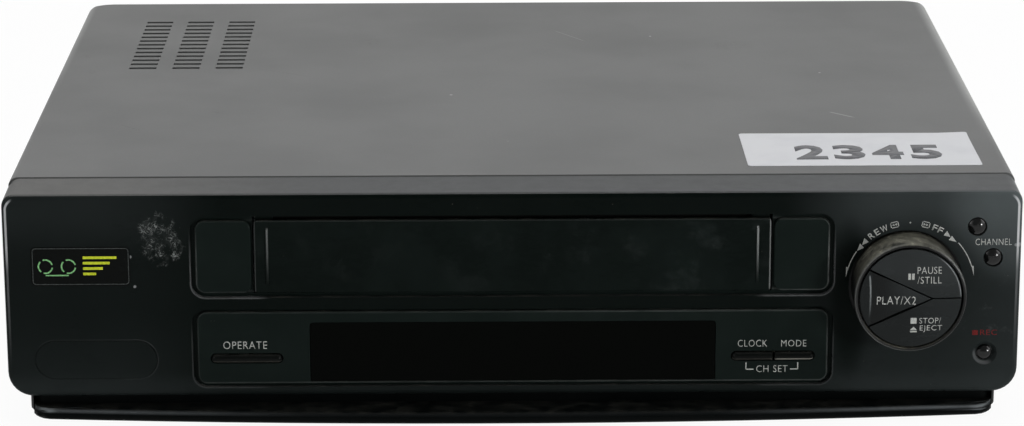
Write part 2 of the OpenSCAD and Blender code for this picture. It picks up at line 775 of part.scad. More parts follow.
module chassis() color("#17191a") from_face() {
    y1 = rear_in_y;
    r = rear_r - 1.5;
    difference() {
        union() {
            difference() {
                union() {
                    along_z(floor_z, 32) plate_2d(-chassis_x, chassis_x, chassis_y0, y1, r, 1);
                    block([-chassis_x, panel_d + slide_gap, floor_z],
                          [chassis_x, chassis_y0 + 2, floor_z + floor_t]);
                }
                along_z(floor_z + floor_t, 33)
                    plate_2d(-chassis_x + 2.2, chassis_x - 2.2, chassis_y0 + 2.2, y1 - 2.2, r - 2, 1);
            }
            // Lips that reach into the front panel
            for (x = [-case_w / 2 + 40, 0, case_w / 2 - 40]) {
                block([x - 15, 13, panel_in_z + 0.2], [x + 15, chassis_y0 + 1, panel_in_z + 2]);
                block([x - 15, chassis_y0, floor_z], [x + 15, chassis_y0 + 3, panel_in_z + 2]);
            }
            for (p = deck_post_at()) rod_z(p[0], p[1], 4.5, floor_z + 1, deck_z0);
            for (p = board_post_at()) rod_z(p[0], p[1], 3, floor_z + 1, board_z);
        }
        // Opening under the deck and room for the sockets in the rear wall
        block([-78, 60, floor_z - 1], [30, 116, floor_z + floor_t + 1]);
        block([mains_x() - 15, y1 - 3, board_z + 1.2], [mains_x() + 15, y1 + 1, 33]);
        block([scart_x - 25, y1 - 3, board_z + 1.2], [scart_x + 25, y1 + 1, 33]);
        block([aerial_x()[0] - 8, y1 - 3, aerial_z - 8], [aerial_x()[1] + 8, y1 + 1, 33]);
        for (p = deck_post_at()) rod_z(p[0], p[1], 1.25, floor_z + floor_t, deck_z0 + 1);
    }
}

board_z = floor_z + 6.5;
function deck_post_at() = [for (s = [-1, 1]) for (y = [46, drum_y + 42]) [s * (deck_x - 9.4), y]];
function board_post_at() = [for (s = [-1, 1]) for (x = [deck_x + 11.6, board_x - 6.4])
                            for (y = [s > 0 ? 44 : case_d - 156, case_d - 26]) [s * x, y]];

module bottom_plate() color("#8d8f90") from_face() {
    difference() {
        along_z(foot_h, floor_z)
            plate_2d(-chassis_x + 2, chassis_x - 2, panel_d + 1.5, rear_in_y - 2, rear_r - 2, 1);
        for (i = [0:11])
            block([22 - case_w / 2 + i * 8, case_d - 110, foot_h - 1],
                  [25.5 - case_w / 2 + i * 8, case_d - 60, floor_z + 1]);
        for (p = foot_at()) rod_z(p[0], p[1], 3.2, foot_h - 1, floor_z + 1);
    }
}

function foot_at() = [for (s = [-1, 1]) for (y = [46, case_d - 36]) [s * (case_w / 2 - 30), y]];

module feet() color("#131415") from_face() for (p = foot_at()) {
    difference() {
        rod_z(p[0], p[1], foot_r, pad_t, foot_h);
        rod_z(p[0], p[1], foot_r - 2.6, 0, pad_t + 1);
    }
    rod_z(p[0], p[1], 3, foot_h - tiny, floor_z);
}

module foot_pads() color("#0f1010") from_face()
    for (p = foot_at()) rod_z(p[0], p[1], foot_r - 3, 0, pad_t + 1);

module rear_panel() color("#3b3d3e") from_face() {
    difference() {
        along_y(rear_in_y, rear_y)
            plate_2d(-cover_x + rear_r - cover_t, cover_x - rear_r + cover_t,
                     cover_z0, cover_in_z - 0.3, 1, 1);
        for (x = aerial_x()) rod_y(x, aerial_z, 6.1, rear_in_y - 1, rear_y + 1);
        scart_hole(1);
        block([mains_x() - 12.3, rear_in_y - 1, mains_z - 8.3],
              [mains_x() + 12.3, rear_y + 1, mains_z + 8.3]);
        for (x = rear_screw_x()) rod_y(x, case_h - flange_w / 2, 1.45 + run_gap, rear_in_y - 1, rear_y + 1);
        for (i = [0:9]) block([-70 + i * 8, rear_in_y - 1, 54], [-67 + i * 8, rear_y + 1, 74]);
    }
}

aerial_z = board_z + 22;
function aerial_x() = [board_x - 44.4, board_x - 20.4];
function mains_x() = -board_x + 32.4;
mains_z = board_z + 11;
scart_x = 72;
scart_z = board_z + 14;

module scart_hole(extra) {
    along_y(rear_in_y - extra, rear_y + extra) scart_outline(0.3);
}

// Trapezoid with one slanted end, the outline of a 21-pin socket
module scart_outline(g) {
    polygon([[scart_x - 24 - g, scart_z - 7 - g], [scart_x + 20 + g, scart_z - 7 - g],
             [scart_x + 24 + g, scart_z + 1], [scart_x + 24 + g, scart_z + 7 + g],
             [scart_x - 24 - g, scart_z + 7 + g]]);
}

module scart_socket() color("#1a1b1c") from_face() {
    difference() {
        along_y(rear_in_y - 14, rear_y + 1) scart_outline(0);
        // Channel for the plug's shell round the contact block
        difference() {
            along_y(rear_y - 9, rear_y + 2) offset(delta = -1.1) scart_outline(0);
            along_y(rear_y - 10, rear_y + 2) offset(delta = -2.9) scart_outline(0);
        }
        for (i = [0:9]) {
            contact_slot(scart_x - 18.2 + i * scart_pitch, scart_z + 2.4);
            contact_slot(scart_x - 20 + i * scart_pitch, scart_z - 2.4);
        }
    }
    block([scart_x - 20, rear_in_y - 13, board_z + board_t + 0.1],
          [scart_x + 20, rear_in_y - 2, scart_z - 6]);
}

scart_pitch = 3.8;

// Slot round one contact of the 21-pin socket
module contact_slot(x, z) {
    block([x - 0.6, rear_y - 8, z - 1], [x + 0.6, rear_y + 2, z + 1]);
}

module aerial_sockets() color("#c8c9ca") from_face() {
    x = aerial_x();
    y = aerial_y;
    // Input: a barrel that a plug goes into
    turned_at(x[0], aerial_z) polygon([
        [aerial_r, -y], [5.8, -y], [5.8, -rear_in_y], [7.5, -rear_in_y], [7.5, -rear_in_y + 1.4],
        [4, -rear_in_y + 1.4], [4, -y + 8], [aerial_r, -y + 8]
    ]);
    difference() {
        rod_y(x[0], aerial_z, 4.1, rear_in_y - 1.4, y - 8.5);
        rod_y(x[0], aerial_z, 1.25, y - 14, y - 5);
    }
    // Output: a thin shell with a centre pin
    turned_at(x[1], aerial_z) polygon([
        [plug_r - 0.6, -y], [plug_r, -y], [plug_r, -rear_in_y], [7.5, -rear_in_y], [7.5, -rear_in_y + 1.4],
        [0, -rear_in_y + 1.4], [0, -y + 8.5], [plug_r - 0.6, -y + 8.5]
    ]);
    rod_y(x[1], aerial_z, 1.15, y - 10, y - 0.5);
}

module mains_inlet() color("#141516") from_face() {
    z = mains_z;
    x = mains_x();
    difference() {
        union() {
            block([x - 12, rear_in_y - 16, z - 8], [x + 12, rear_y + 0.5, z + 8]);
            block([x - 14, rear_in_y - 2, z - 9], [x + 14, rear_in_y, z + 9]);
        }
        along_y(rear_y - 13, rear_y + 2) plate_2d(x - 8.3, x + 8.3, z - 4.2, z + 4.2, 4.1, 4.1);
    }
    for (s = [-1, 1]) rod_y(x + s * 4.3, z, 1.2, rear_y - 13.5, rear_y - 3);
}

// Boards and electrical parts

module display_board() color("#2f5a3a") from_face() {
    y = switch_y + 1;
    block([-inset_x - 2, y, inset_z0 + 0.3], [inset_x + 2, y + board_t, inset_z1 - 0.5]);
    // Display tube
    color("#334a50") block([-window_x + 8, y - 3.6, window_z0 + 2], [window_x - 8, y, window_z1 - 3]);
    for (s = [operate_bar(), clock_bar(), mode_bar()]) {
        x = (s[0] + s[1]) / 2 + (s == clock_bar() ? bar_r / 2 : 0) - (s == mode_bar() ? bar_r / 2 : 0);
        block([x - 3, y - 1.6, bar_z - 3], [x + 3, y, bar_z + 3]);
        rod_y(x, bar_z, 1.4, switch_y - 1, y - 1.5);
    }
}

module key_board() color("#2f5a3a") from_face() {
    difference() {
        block([dial_x - 22.6, key_y, panel_z0 + 5], [case_w / 2 - 5.5, key_y + board_t, panel_top - 5]);
        rod_y(dial_x, dial_z, 4, key_y - 1, key_y + 3);
    }
    keys = [channel_up_at(), channel_down_at(), rec_at(),
            for (i = [0:2]) [dial_x + stem_at(i)[0], dial_z + stem_at(i)[1]]];
    for (k = keys) {
        block([k[0] - 3, key_y - 1.2, k[1] - 3], [k[0] + 3, key_y, k[1] + 3]);
        rod_y(k[0], k[1], 1.4, key_y - 2, key_y - 1.1);
    }
}

board_x = chassis_x - 5.9;

module main_board() color("#8a7440") from_face() {
    z1 = board_z + board_t;
    difference() {
        along_z(board_z, z1) polygon([
            [deck_x + 5.6, 36], [board_x, 36], [board_x, rear_in_y - 4], [6.4 - deck_x, rear_in_y - 4],
            [6.4 - deck_x, drum_y + 56], [deck_x + 5.6, drum_y + 56]
        ]);
    }
    // Place, length, width and height of each chip
    chips = [[board_x - 52.4, 90, 26, 12, 4], [board_x - 34.4, 120, 32, 14, 4],
             [board_x - 54.4, 160, 20, 20, 3], [board_x - 32.4, rear_in_y - 113, 30, 12, 4],
             [20, drum_y + 72, 36, 14, 4], [-60, drum_y + 70, 30, 12, 4]];
    for (c = chips) block([c[0], c[1], z1 - tiny], [c[0] + c[2], c[1] + c[3], z1 + c[4]]);
    capacitors = [[board_x - 58.4, 60], [board_x - 12.4, 70], [board_x - 12.4, 150],
                  [board_x - 56.4, rear_in_y - 98], [-20, drum_y + 90], [40, drum_y + 92]];
    for (p = capacitors) rod_z(p[0], p[1], 4, z1 - tiny, z1 + 12);
    block([board_x - 32.4, rear_in_y - 77, z1 - tiny], [board_x - 8.4, rear_in_y - 65, z1 + 16]);
}

module power_board() color("#8a7440") from_face() {
    z1 = board_z + board_t;
    y1 = rear_in_y - 4;
    x = -deck_x - 11.6;
    y0 = case_d - 164;
    block([-board_x, y0, board_z], [x + 9, y1, z1]);
    // Smoothing capacitors
    rod_z(x - 8, y0 + 34, 11, z1 - tiny, z1 + 30);
    rod_z(-board_x + 32.4, y0 + 26, 6.5, z1 - tiny, z1 + 22);
    rod_z(-board_x + 12.4, y0 + 44, 5, z1 - tiny, z1 + 14);
    // Heat sink with fins and the transistor it cools
    block([x, y0 + 52, z1 - tiny], [x + 2.5, y0 + 110, z1 + 34]);
    for (i = [0:5]) block([x + 2.4, y0 + 54 + i * 10, z1 + 4], [x + 8, y0 + 56 + i * 10, z1 + 34]);
    block([x - 2, y0 + 94, z1 + 6], [x + 0.1, y0 + 108, z1 + 24]);
}

module transformer() color("#6c6a66") from_face() {
    z0 = board_z + board_t;
    x0 = -board_x + 2.4;
    y0 = case_d - 106;
    // Laminated core, bobbin and windings
    difference() {
        block([x0, y0 + 10, z0], [x0 + 54, y0 + 34, z0 + 44]);
        for (x = [x0 + 9, x0 + 32]) block([x, y0 + 9, z0 + 9], [x + 13, y0 + 35, z0 + 35]);
    }
    color("#a0522d") difference() {
        block([x0 + 9.1, y0, z0 + 9.1], [x0 + 44.9, y0 + 44, z0 + 34.9]);
        block([x0 + 21.9, y0 + 9.9, z0 + 8], [x0 + 32.1, y0 + 34.1, z0 + 36]);
        for (x = [x0 - 1, x0 + 44.9]) block([x, y0 + 9.9, z0 + 8], [x + 10.1, y0 + 34.1, z0 + 36]);
    }
}

module tuner() color("#b7b8b8") from_face() {
    z0 = board_z + board_t;
    block([board_x - 58.4, rear_in_y - 46, z0], [board_x - 5.4, rear_in_y - 2.6, z0 + 34]);
    for (i = [0:5]) rod_z(board_x - 50.4 + i * 7, rear_in_y - 30, 2, z0 + 34 - tiny, z0 + 34.6);
}

// Cassette loader

module deck_plate() color("#b5b7b8") from_face() {
    x = deck_x;
    y0 = 38;
    y1 = drum_y + 50;
    difference() {
        union() {
            block([-x, y0, deck_z0], [x, y1, deck_z]);
            // Folded edges and the pins that stay on the plate
            for (s = [-1, 1]) block([s > 0 ? x - 1.2 : -x, y0, deck_z0 - 6],
                                    [s > 0 ? x : -x + 1.2, y1, deck_z0 + tiny]);
            for (s = [-1, 1]) rod_z(s * reel_pitch / 2, reel_y, 2, deck_z - tiny, deck_z + 14);
            rod_z(0, idler_pivot_y, 2, deck_z - tiny, deck_z + 6);
            rod_z(pinch_pivot[0], pinch_pivot[1], 2, deck_z - tiny, deck_z + 12);
            rod_z(tension_at()[0], tension_at()[1], 2, deck_z - tiny, deck_z + 8);
            rod_z(cam_at[0], cam_at[1], 2, deck_z0 - 9, deck_z0 + tiny);
        }
        for (s = [-1, 1]) guide_slot(s);
        translate([0, drum_y, 0]) rod_z(0, 0, 15, deck_z0 - 1, deck_z + 1);
        rod_z(capstan_at[0], capstan_at[1], 4.6, deck_z0 - 1, deck_z + 1);
        for (p = deck_post_at()) rod_z(p[0], p[1], 1.5, deck_z0 - 1, deck_z + 1);
    }
}

// Direction in which a tape guide runs
function guide_dir(s) = [s * sin(guide_lean), cos(guide_lean)];

module guide_slot(s) {
    d = guide_dir(s);
    a = [s * guide_x, guide_y];
    b = a + (guide_travel + 0.4) * d;
    r = 2.2;
    flat = r - 0.02;
    rod_z(a[0], a[1], r, deck_z0 - 1, deck_z + 1);
    rod_z(b[0], b[1], r, deck_z0 - 1, deck_z + 1);
    translate([a[0], a[1], deck_z0 - 1]) rotate(90 - s * guide_lean)
        translate([0, -flat, 0]) cube([guide_travel + 0.4, 2 * flat, deck_t + 2]);
}

function pin_slot_y() = [basket_y + 17, basket_y + basket_len - 16];
pin_slot_z = basket_top - 1.5;

module cassette_housing() color("#c3c5c6") from_face() {
    z1 = panel_top - 2.6;
    y0 = basket_y + 3;
    y1 = basket_y + basket_len + load_in + 8;
    r = guide_pin_r + slide_gap;
    difference() {
        union() {
            for (s = [-1, 1]) {
                side_sheet(s, housing_x, sheet_t, y0, y1, deck_z, z1);
                side_sheet(s, housing_x, 4.5, y0, y1, deck_z, deck_z + sheet_t);
            }
            block([-housing_x - sheet_t, y1 - 44, z1 - sheet_t], [housing_x + sheet_t, y1 - 20, z1]);
        }
        for (y = pin_slot_y()) level_slot(y, y + load_in, pin_slot_z, r);
        // Lightening holes in the side plates
        for (y = [y0 + 22, y0 + 62]) rod_x(y, deck_z + 20, 9, -housing_x - 3, housing_x + 3);
    }
}

// Sheet that stands outside x on the right side, or on the left for s = -1
module side_sheet(s, x, t, y0, y1, z0, z1) {
    block([s > 0 ? x : -x - t, y0, z0], [s > 0 ? x + t : -x, y1, z1]);
}

// Slot through both side plates from y0 to y1
module level_slot(y0, y1, z, r) {
    rod_x(y0, z, r, -housing_x - 6, housing_x + 6);
    rod_x(y1, z, r, -housing_x - 6, housing_x + 6);
    block([-housing_x - 6, y0, z - r], [housing_x + 6, y1, z + r]);
}

function drop_pin_y() = [basket_y + 25, basket_y + basket_len - 24];
drop_pin_z = basket_top - 7;

module basket_carriage() color("#d6d7d8") from_face() {
    r = guide_pin_r + slide_gap;
    z0 = drop_pin_z - load_down - 5;
    z1 = basket_top + 3.4;
    y0 = basket_y + 11;
    y1 = basket_y + basket_len - 10;
    difference() {
        union() {
            for (s = [-1, 1]) side_sheet(s, carriage_x, sheet_t, y0, y1, z0, z1);
            block([-carriage_x - sheet_t, y0, z1 - sheet_t], [carriage_x + sheet_t, y0 + 10, z1]);
        }
        for (y = drop_pin_y()) {
            rod_x(y, drop_pin_z, r, -carriage_x - 3, carriage_x + 3);
            rod_x(y, drop_pin_z - load_down, r, -carriage_x - 3, carriage_x + 3);
            block([-carriage_x - 3, y - r, drop_pin_z - load_down], [carriage_x + 3, y + r, drop_pin_z]);
        }
    }
    for (s = [-1, 1]) for (y = pin_slot_y())
        rod_x(y, pin_slot_z, guide_pin_r, s > 0 ? carriage_x + sheet_t - tiny : -housing_x - sheet_t - 1,
              s > 0 ? housing_x + sheet_t + 1 : -carriage_x - sheet_t + tiny);
}

module cassette_basket() color("#cfd1d2") from_face() {
    y0 = basket_y;
    y1 = basket_y + basket_len;
    inner = basket_w / 2;
    z0 = cass_z - sheet_t;
    difference() {
        union() {
            block([-basket_x, y0, basket_top - sheet_t], [basket_x, y1, basket_top]);
            for (s = [-1, 1]) {
                side_sheet(s, inner, sheet_t, y0, y1, z0, basket_top);
                side_sheet(s, inner - 9, sheet_t + 9, y0, y1, z0, cass_z);
                // Stop tab behind the cassette
                block([s > 0 ? inner - 30 : -inner + 14, y1 - sheet_t, cass_z + 16],
                      [s > 0 ? inner - 14 : -inner + 30, y1, basket_top - tiny]);
            }
        }
        // Windows in the top plate
        for (s = [-1, 1]) side_sheet(s, 12, 66, y0 + 14, y1 - 14, basket_top - 3, basket_top + 1);
    }
    for (s = [-1, 1]) for (y = drop_pin_y())
        rod_x(y, drop_pin_z, guide_pin_r, s > 0 ? basket_x - tiny : -carriage_x - sheet_t - 0.4,
              s > 0 ? carriage_x + sheet_t + 0.4 : -basket_x + tiny);
}

// Head drum, leaning about X

module drum_frame() {
    translate([0, drum_y, deck_z]) rotate([drum_tilt, 0, 0]) children();
}

drum_shaft_r = 3;
drum_split = 20;

module lower_drum() color("#c9cbcc") from_face() {
    drum_frame() difference() {
        union() {
            translate([0, 0, 6]) cylinder(h = drum_split - 6, r = drum_r);
            translate([0, 0, 3.4]) cylinder(h = 3, r = drum_r - 6);
            cylinder(h = 4, r = 12);
        }
        translate([0, 0, -1]) cylinder(h = drum_split + 2, r = drum_shaft_r + run_gap);
    }
    // Columns that carry the drum on the deck
    for (s = [-1, 1]) rod_z(s * 19, drum_y + 11, 3.5, deck_z, deck_z + 8);
    rod_z(0, drum_y - 22, 3.5, deck_z, deck_z + 5);
}

module upper_drum() color("#dfe0e1") from_face() drum_frame() {
    z0 = drum_split + slide_gap;
    difference() {
        translate([0, 0, z0]) cylinder(h = 13, r = drum_r);
        // Windows of the video heads
        for (a = [0, 180]) rotate(a) translate([drum_r - 3, -2.5, z0 - 1]) cube([4, 5, 3]);
        translate([0, 0, z0 + 10]) difference() {
            cylinder(h = 4, r = drum_r - 5);
            cylinder(h = 4, r = 8);
        }
    }
    // Shaft, rotor of the drum motor and head tips
    translate([0, 0, -9]) cylinder(h = z0 + 10, r = drum_shaft_r);
    translate([0, 0, -10]) cylinder(h = 5, r = 19);
    for (a = [0, 180]) rotate(a) translate([drum_r - 4, -1, z0 + 0.4]) cube([4, 2, 1.2]);
}

// Capstan and pinch roller

module capstan_housing() color("#a9abac") from_face() difference() {
    union() {
        rod_z(capstan_at[0], capstan_at[1], 7, deck_z, deck_z + 1.8);
        rod_z(capstan_at[0], capstan_at[1], 3.4, deck_z, deck_z + 4.6);
        rod_z(capstan_at[0], capstan_at[1], 4.4, deck_z0 - 3.5, deck_z);
    }
    rod_z(capstan_at[0], capstan_at[1], capstan_r + run_gap, deck_z0 - 5, deck_z + 12);
}

module capstan() color("#9fa1a3") from_face() {
    rod_z(capstan_at[0], capstan_at[1], capstan_r, deck_z0 - 11, deck_z + 30);
    rod_z(capstan_at[0], capstan_at[1], 23, deck_z0 - 10.5, deck_z0 - 4.5);
    rod_z(capstan_at[0], capstan_at[1], 8, deck_z0 - 12.5, deck_z0 - 10.4);
}

function pinch_at() = pinch_pivot + pinch_len * [cos(pinch_rest), sin(pinch_rest)];

module pinch_arm() color("#8f9192") from_face() {
    p = pinch_at();
    z0 = deck_z + 2.4;
    difference() {
        union() {
            rod_z(pinch_pivot[0], pinch_pivot[1], 4.5, deck_z + 0.3, deck_z + 11);
            rod_z(p[0], p[1], 4, z0, z0 + 2.4);
            rod_z(p[0], p[1], 1.5, z0, z0 + 24);
            rod_z(p[0], p[1], 2.6, z0 + 22.6, z0 + 24);
            translate([pinch_pivot[0], pinch_pivot[1], z0]) rotate(pinch_rest)
                translate([0, -3, 0]) cube([pinch_len, 6, 2.4]);
        }
        rod_z(pinch_pivot[0], pinch_pivot[1], 2 + run_gap, deck_z - 1, deck_z + 13);
    }
}

module pinch_roller() color("#1d1d1d") from_face() {
    p = pinch_at();
    z0 = deck_z + 2.4 + 2.4 + 0.3;
    difference() {
        union() {
            rod_z(p[0], p[1], pinch_r, z0 + 0.6, z0 + 18.6);
            rod_z(p[0], p[1], 3.2, z0, z0 + 19.2);
        }
        rod_z(p[0], p[1], 1.5 + run_gap, z0 - 1, z0 + 21);
    }
}

// Reel drive

module spindle(s) color("#2d3031") from_face() {
    x = s * reel_pitch / 2;
    z0 = deck_z + 0.6;
    difference() {
        union() {
            rod_z(x, reel_y, reel_r, z0 + 0.6, z0 + 3.8);
            rod_z(x, reel_y, 9, z0, z0 + 7);
            rod_z(x, reel_y, 5.5, z0, z0 + 19);
            // Splines that drive the cassette hub
            for (a = [0, 120, 240])
                translate([x, reel_y, z0 + 7]) rotate(a) translate([4, -0.8, 0]) cube([4.2, 1.6, 9]);
            translate([x, reel_y, z0 + 19 - tiny]) cylinder(h = 3, r1 = 5.5, r2 = 3);
        }
        rod_z(x, reel_y, 2 + run_gap, z0 - 1, z0 + 16);
    }
}

module supply_spindle() spindle(-1);
module takeup_spindle() spindle(1);

module idler_arm() color("#b0a070") from_face() {
    z0 = deck_z + 4.4;
    difference() {
        union() {
            rod_z(0, idler_pivot_y, 4.2, deck_z + 0.3, z0 + 1.2);
            rod_z(0, idler_pivot_y - idler_len, 4, z0, z0 + 1.2);
            block([-3, idler_pivot_y - idler_len, z0], [3, idler_pivot_y, z0 + 1.2]);
            rod_z(0, idler_pivot_y - idler_len, 1.8, deck_z + 0.6, z0 + 1);
        }
        rod_z(0, idler_pivot_y, 2 + run_gap, deck_z - 1, z0 + 3);
    }
}

module idler_wheel() color("#1b1c1c") from_face() {
    y = idler_pivot_y - idler_len;
    difference() {
        rod_z(0, y, idler_r, deck_z + 1, deck_z + 4.1);
        rod_z(0, y, 1.8 + run_gap, deck_z, deck_z + 6);
        difference() {
            rod_z(0, y, idler_r - 3, deck_z + 3, deck_z + 5);
            rod_z(0, y, 5, deck_z + 2, deck_z + 6);
        }
    }
}

// Tape path

module tape_guide(s) color("#b9bbbc") from_face() {
    x = s * guide_x;
    difference() {
        union() {
            translate([x, guide_y, deck_z + 0.3]) rotate(-s * guide_lean)
                translate([-4.6, -6, 0]) cube([9.2, 12, 3]);
            rod_z(x, guide_y, 2.2 - slide_gap, deck_z0 - 0.6, deck_z + 1);
            rod_z(x, guide_y, 4, deck_z0 - 1.8, deck_z0 - 0.3);
            rod_z(x, guide_y - 2, 1.4, deck_z + 3, deck_z + 31);
            rod_z(x, guide_y - 2, 3, deck_z + 8, deck_z + 10);
            rod_z(x, guide_y - 2, 2.5, deck_z + 10, deck_z + 25);
            rod_z(x, guide_y - 2, 3, deck_z + 25, deck_z + 28);
            translate([x + s * 0.5, guide_y + 4, deck_z + 3]) rotate([-12, 0, 0]) cylinder(h = 24, r = 1.2);
        }
    }
}

module supply_guide() tape_guide(-1);
module takeup_guide() tape_guide(1);

function tension_at() = [-81, drum_y - 50];

module tension_arm() color("#8f9192") from_face() {
    p = tension_at();
    q = p + [14, 12];
    z0 = deck_z + 0.4;
    difference() {
        union() {
            rod_z(p[0], p[1], 4.2, z0, z0 + 4);
            translate([p[0], p[1], z0]) rotate(atan2(q[1] - p[1], q[0] - p[0])) translate([0, -2.5, 0])
                cube([norm(q - p), 5, 1.6]);
            rod_z(q[0], q[1], 3, z0, z0 + 1.6);
            rod_z(q[0], q[1], 1.5, z0, z0 + 26);
        }
        rod_z(p[0], p[1], 2 + run_gap, deck_z - 1, z0 + 7);
    }
}

module guide_posts() color("#c9cbcc") from_face() {
    for (p = [[-48, drum_y - 38], [50, drum_y + 6], [-52, drum_y + 2]]) {
        rod_z(p[0], p[1], 3.4, deck_z, deck_z + 4);
        rod_z(p[0], p[1], 2, deck_z + 4 - tiny, deck_z + 27);
        rod_z(p[0], p[1], 3, deck_z + 26, deck_z + 28);
    }
}

module erase_head() color("#9a8f86") from_face() {
    x = -64;
    y = drum_y - 12;
    block([x - 6, y - 6, deck_z], [x + 6, y + 6, deck_z + 2]);
    difference() {
        rod_z(x, y, 5, deck_z + 2 - tiny, deck_z + 22);
        block([x - 7, y + 3.4, deck_z + 4], [x + 7, y + 7, deck_z + 23]);
    }
}

module audio_head() color("#9a9b9c") from_face() {
    x = 62;
    y = drum_y + 4;
    block([x - 7, y - 8, deck_z], [x + 9, y + 8, deck_z + 2.4]);
    translate([x, y, deck_z + 2.4 - tiny]) rotate(20) {
        translate([-5, -6, 0]) cube([9, 12, 20]);
        translate([-5, 0, 4]) cylinder(h = 14, r = 3.6);
    }
}

// Loading drive under the deck

cam_z0 = deck_z0 - 7.5;
// Share of the tooth pitch and radius of each point of a tooth
tooth_points = [[0, cam_r - 1.8], [0.28, cam_r - 1.6], [0.42, cam_r], [0.58, cam_r], [0.72, cam_r - 1.6]];

module cam_gear() color("#e3e0d4") from_face() difference() {
    translate([cam_at[0], cam_at[1], cam_z0]) linear_extrude(5)
        polygon([for (i = [0:cam_teeth - 1]) each [for (t = tooth_points)
            t[1] * [cos(360 * (i + t[0]) / cam_teeth), sin(360 * (i + t[0]) / cam_teeth)]]]);
    rod_z(cam_at[0], cam_at[1], 2 + run_gap, cam_z0 - 1, cam_z0 + 7);
    // Eccentric groove that drives the levers
    translate([3, 0, 0]) difference() {
        rod_z(cam_at[0], cam_at[1], 16, cam_z0 + 3, cam_z0 + 6);
        rod_z(cam_at[0], cam_at[1], 12.5, cam_z0 + 2, cam_z0 + 7);
    }
}

worm_r = 3.4;
function worm_y() = cam_at[1] + cam_r + worm_r + slide_gap;
worm_z = cam_z0 + 0.5;
motor_x = cam_at[0] - 12.8;

module loading_motor() color("#aeb0b1") from_face() {
    x1 = motor_x;
    difference() {
        union() {
            rod_x(worm_y(), worm_z, 6.2, x1 - 24, x1);
            rod_x(worm_y(), worm_z, 2.6, x1 - tiny, x1 + 1);
            // Saddle that hangs the motor from the deck
            block([x1 - 20, worm_y() - 5, worm_z + 3], [x1 - 4, worm_y() + 5, deck_z0]);
        }
        rod_x(worm_y(), worm_z, 1 + run_gap, x1 - 6, x1 + 3);
    }
}

module worm() color("#d9b766") from_face() {
    rod_x(worm_y(), worm_z, 1, motor_x - 5, motor_x + 22.5);
    rod_x(worm_y(), worm_z, worm_r, cam_at[0] - 7, cam_at[0] + 8.5);
}

front_panel();
plinth();
door_surround();
cassette_door();
door_spring();
control_panel();
display_window();
operate_button();
clock_button();
mode_button();
channel_up_button();
channel_down_button();
rec_button();
shuttle_ring();
dial_hub();
play_button();
pause_button();
stop_button();
top_cover();
cover_screws();
chassis();
bottom_plate();
rear_panel();
feet();
foot_pads();
scart_socket();
aerial_sockets();
mains_inlet();
display_board();
key_board();
main_board();
power_board();
transformer();
tuner();
deck_plate();
cassette_housing();
basket_carriage();
cassette_basket();
lower_drum();
upper_drum();
capstan_housing();
capstan();
pinch_arm();
pinch_roller();
supply_spindle();
takeup_spindle();
idler_arm();
idler_wheel();
supply_guide();
takeup_guide();
tension_arm();
guide_posts();
erase_head();
audio_head();
cam_gear();
loading_motor();
worm();
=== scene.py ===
import math

import bmesh
import bpy
from mathutils import Matrix, Vector


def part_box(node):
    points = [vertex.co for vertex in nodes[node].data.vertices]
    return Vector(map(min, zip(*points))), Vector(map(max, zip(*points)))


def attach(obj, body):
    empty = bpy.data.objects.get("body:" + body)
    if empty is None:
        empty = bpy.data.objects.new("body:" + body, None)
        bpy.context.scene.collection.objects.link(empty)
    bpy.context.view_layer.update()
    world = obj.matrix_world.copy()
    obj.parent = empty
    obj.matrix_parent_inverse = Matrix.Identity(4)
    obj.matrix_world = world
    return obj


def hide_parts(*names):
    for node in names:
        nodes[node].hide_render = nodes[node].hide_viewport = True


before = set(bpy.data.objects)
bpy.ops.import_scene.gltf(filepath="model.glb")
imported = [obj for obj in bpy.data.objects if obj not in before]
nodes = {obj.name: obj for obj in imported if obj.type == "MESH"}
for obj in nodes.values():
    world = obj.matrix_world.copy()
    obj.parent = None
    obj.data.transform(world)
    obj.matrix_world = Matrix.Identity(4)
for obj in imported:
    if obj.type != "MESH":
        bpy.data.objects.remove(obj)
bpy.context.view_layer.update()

mm = 0.001
sameSpot = 0.01 * mm  # vertices closer than this become one

# Sizes are in millimetres and depth is counted from the front face, which is at frontY metres
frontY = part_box("front_panel")[0].y
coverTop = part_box("top_cover")[1].z / mm
dialLow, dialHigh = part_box("shuttle_ring")
dialX = (dialLow.x + dialHigh.x) / 2 / mm
dialZ = (dialLow.z + dialHigh.z) / 2 / mm
dialFront = (dialLow.y - frontY) / mm


def srgb(red, green, blue):
    def linear(level):
        part = level / 255
        return part / 12.92 if part < 0.04045 else ((part + 0.055) / 1.055) ** 2.4
    return (linear(red), linear(green), linear(blue), 1.0)


# Shader maths

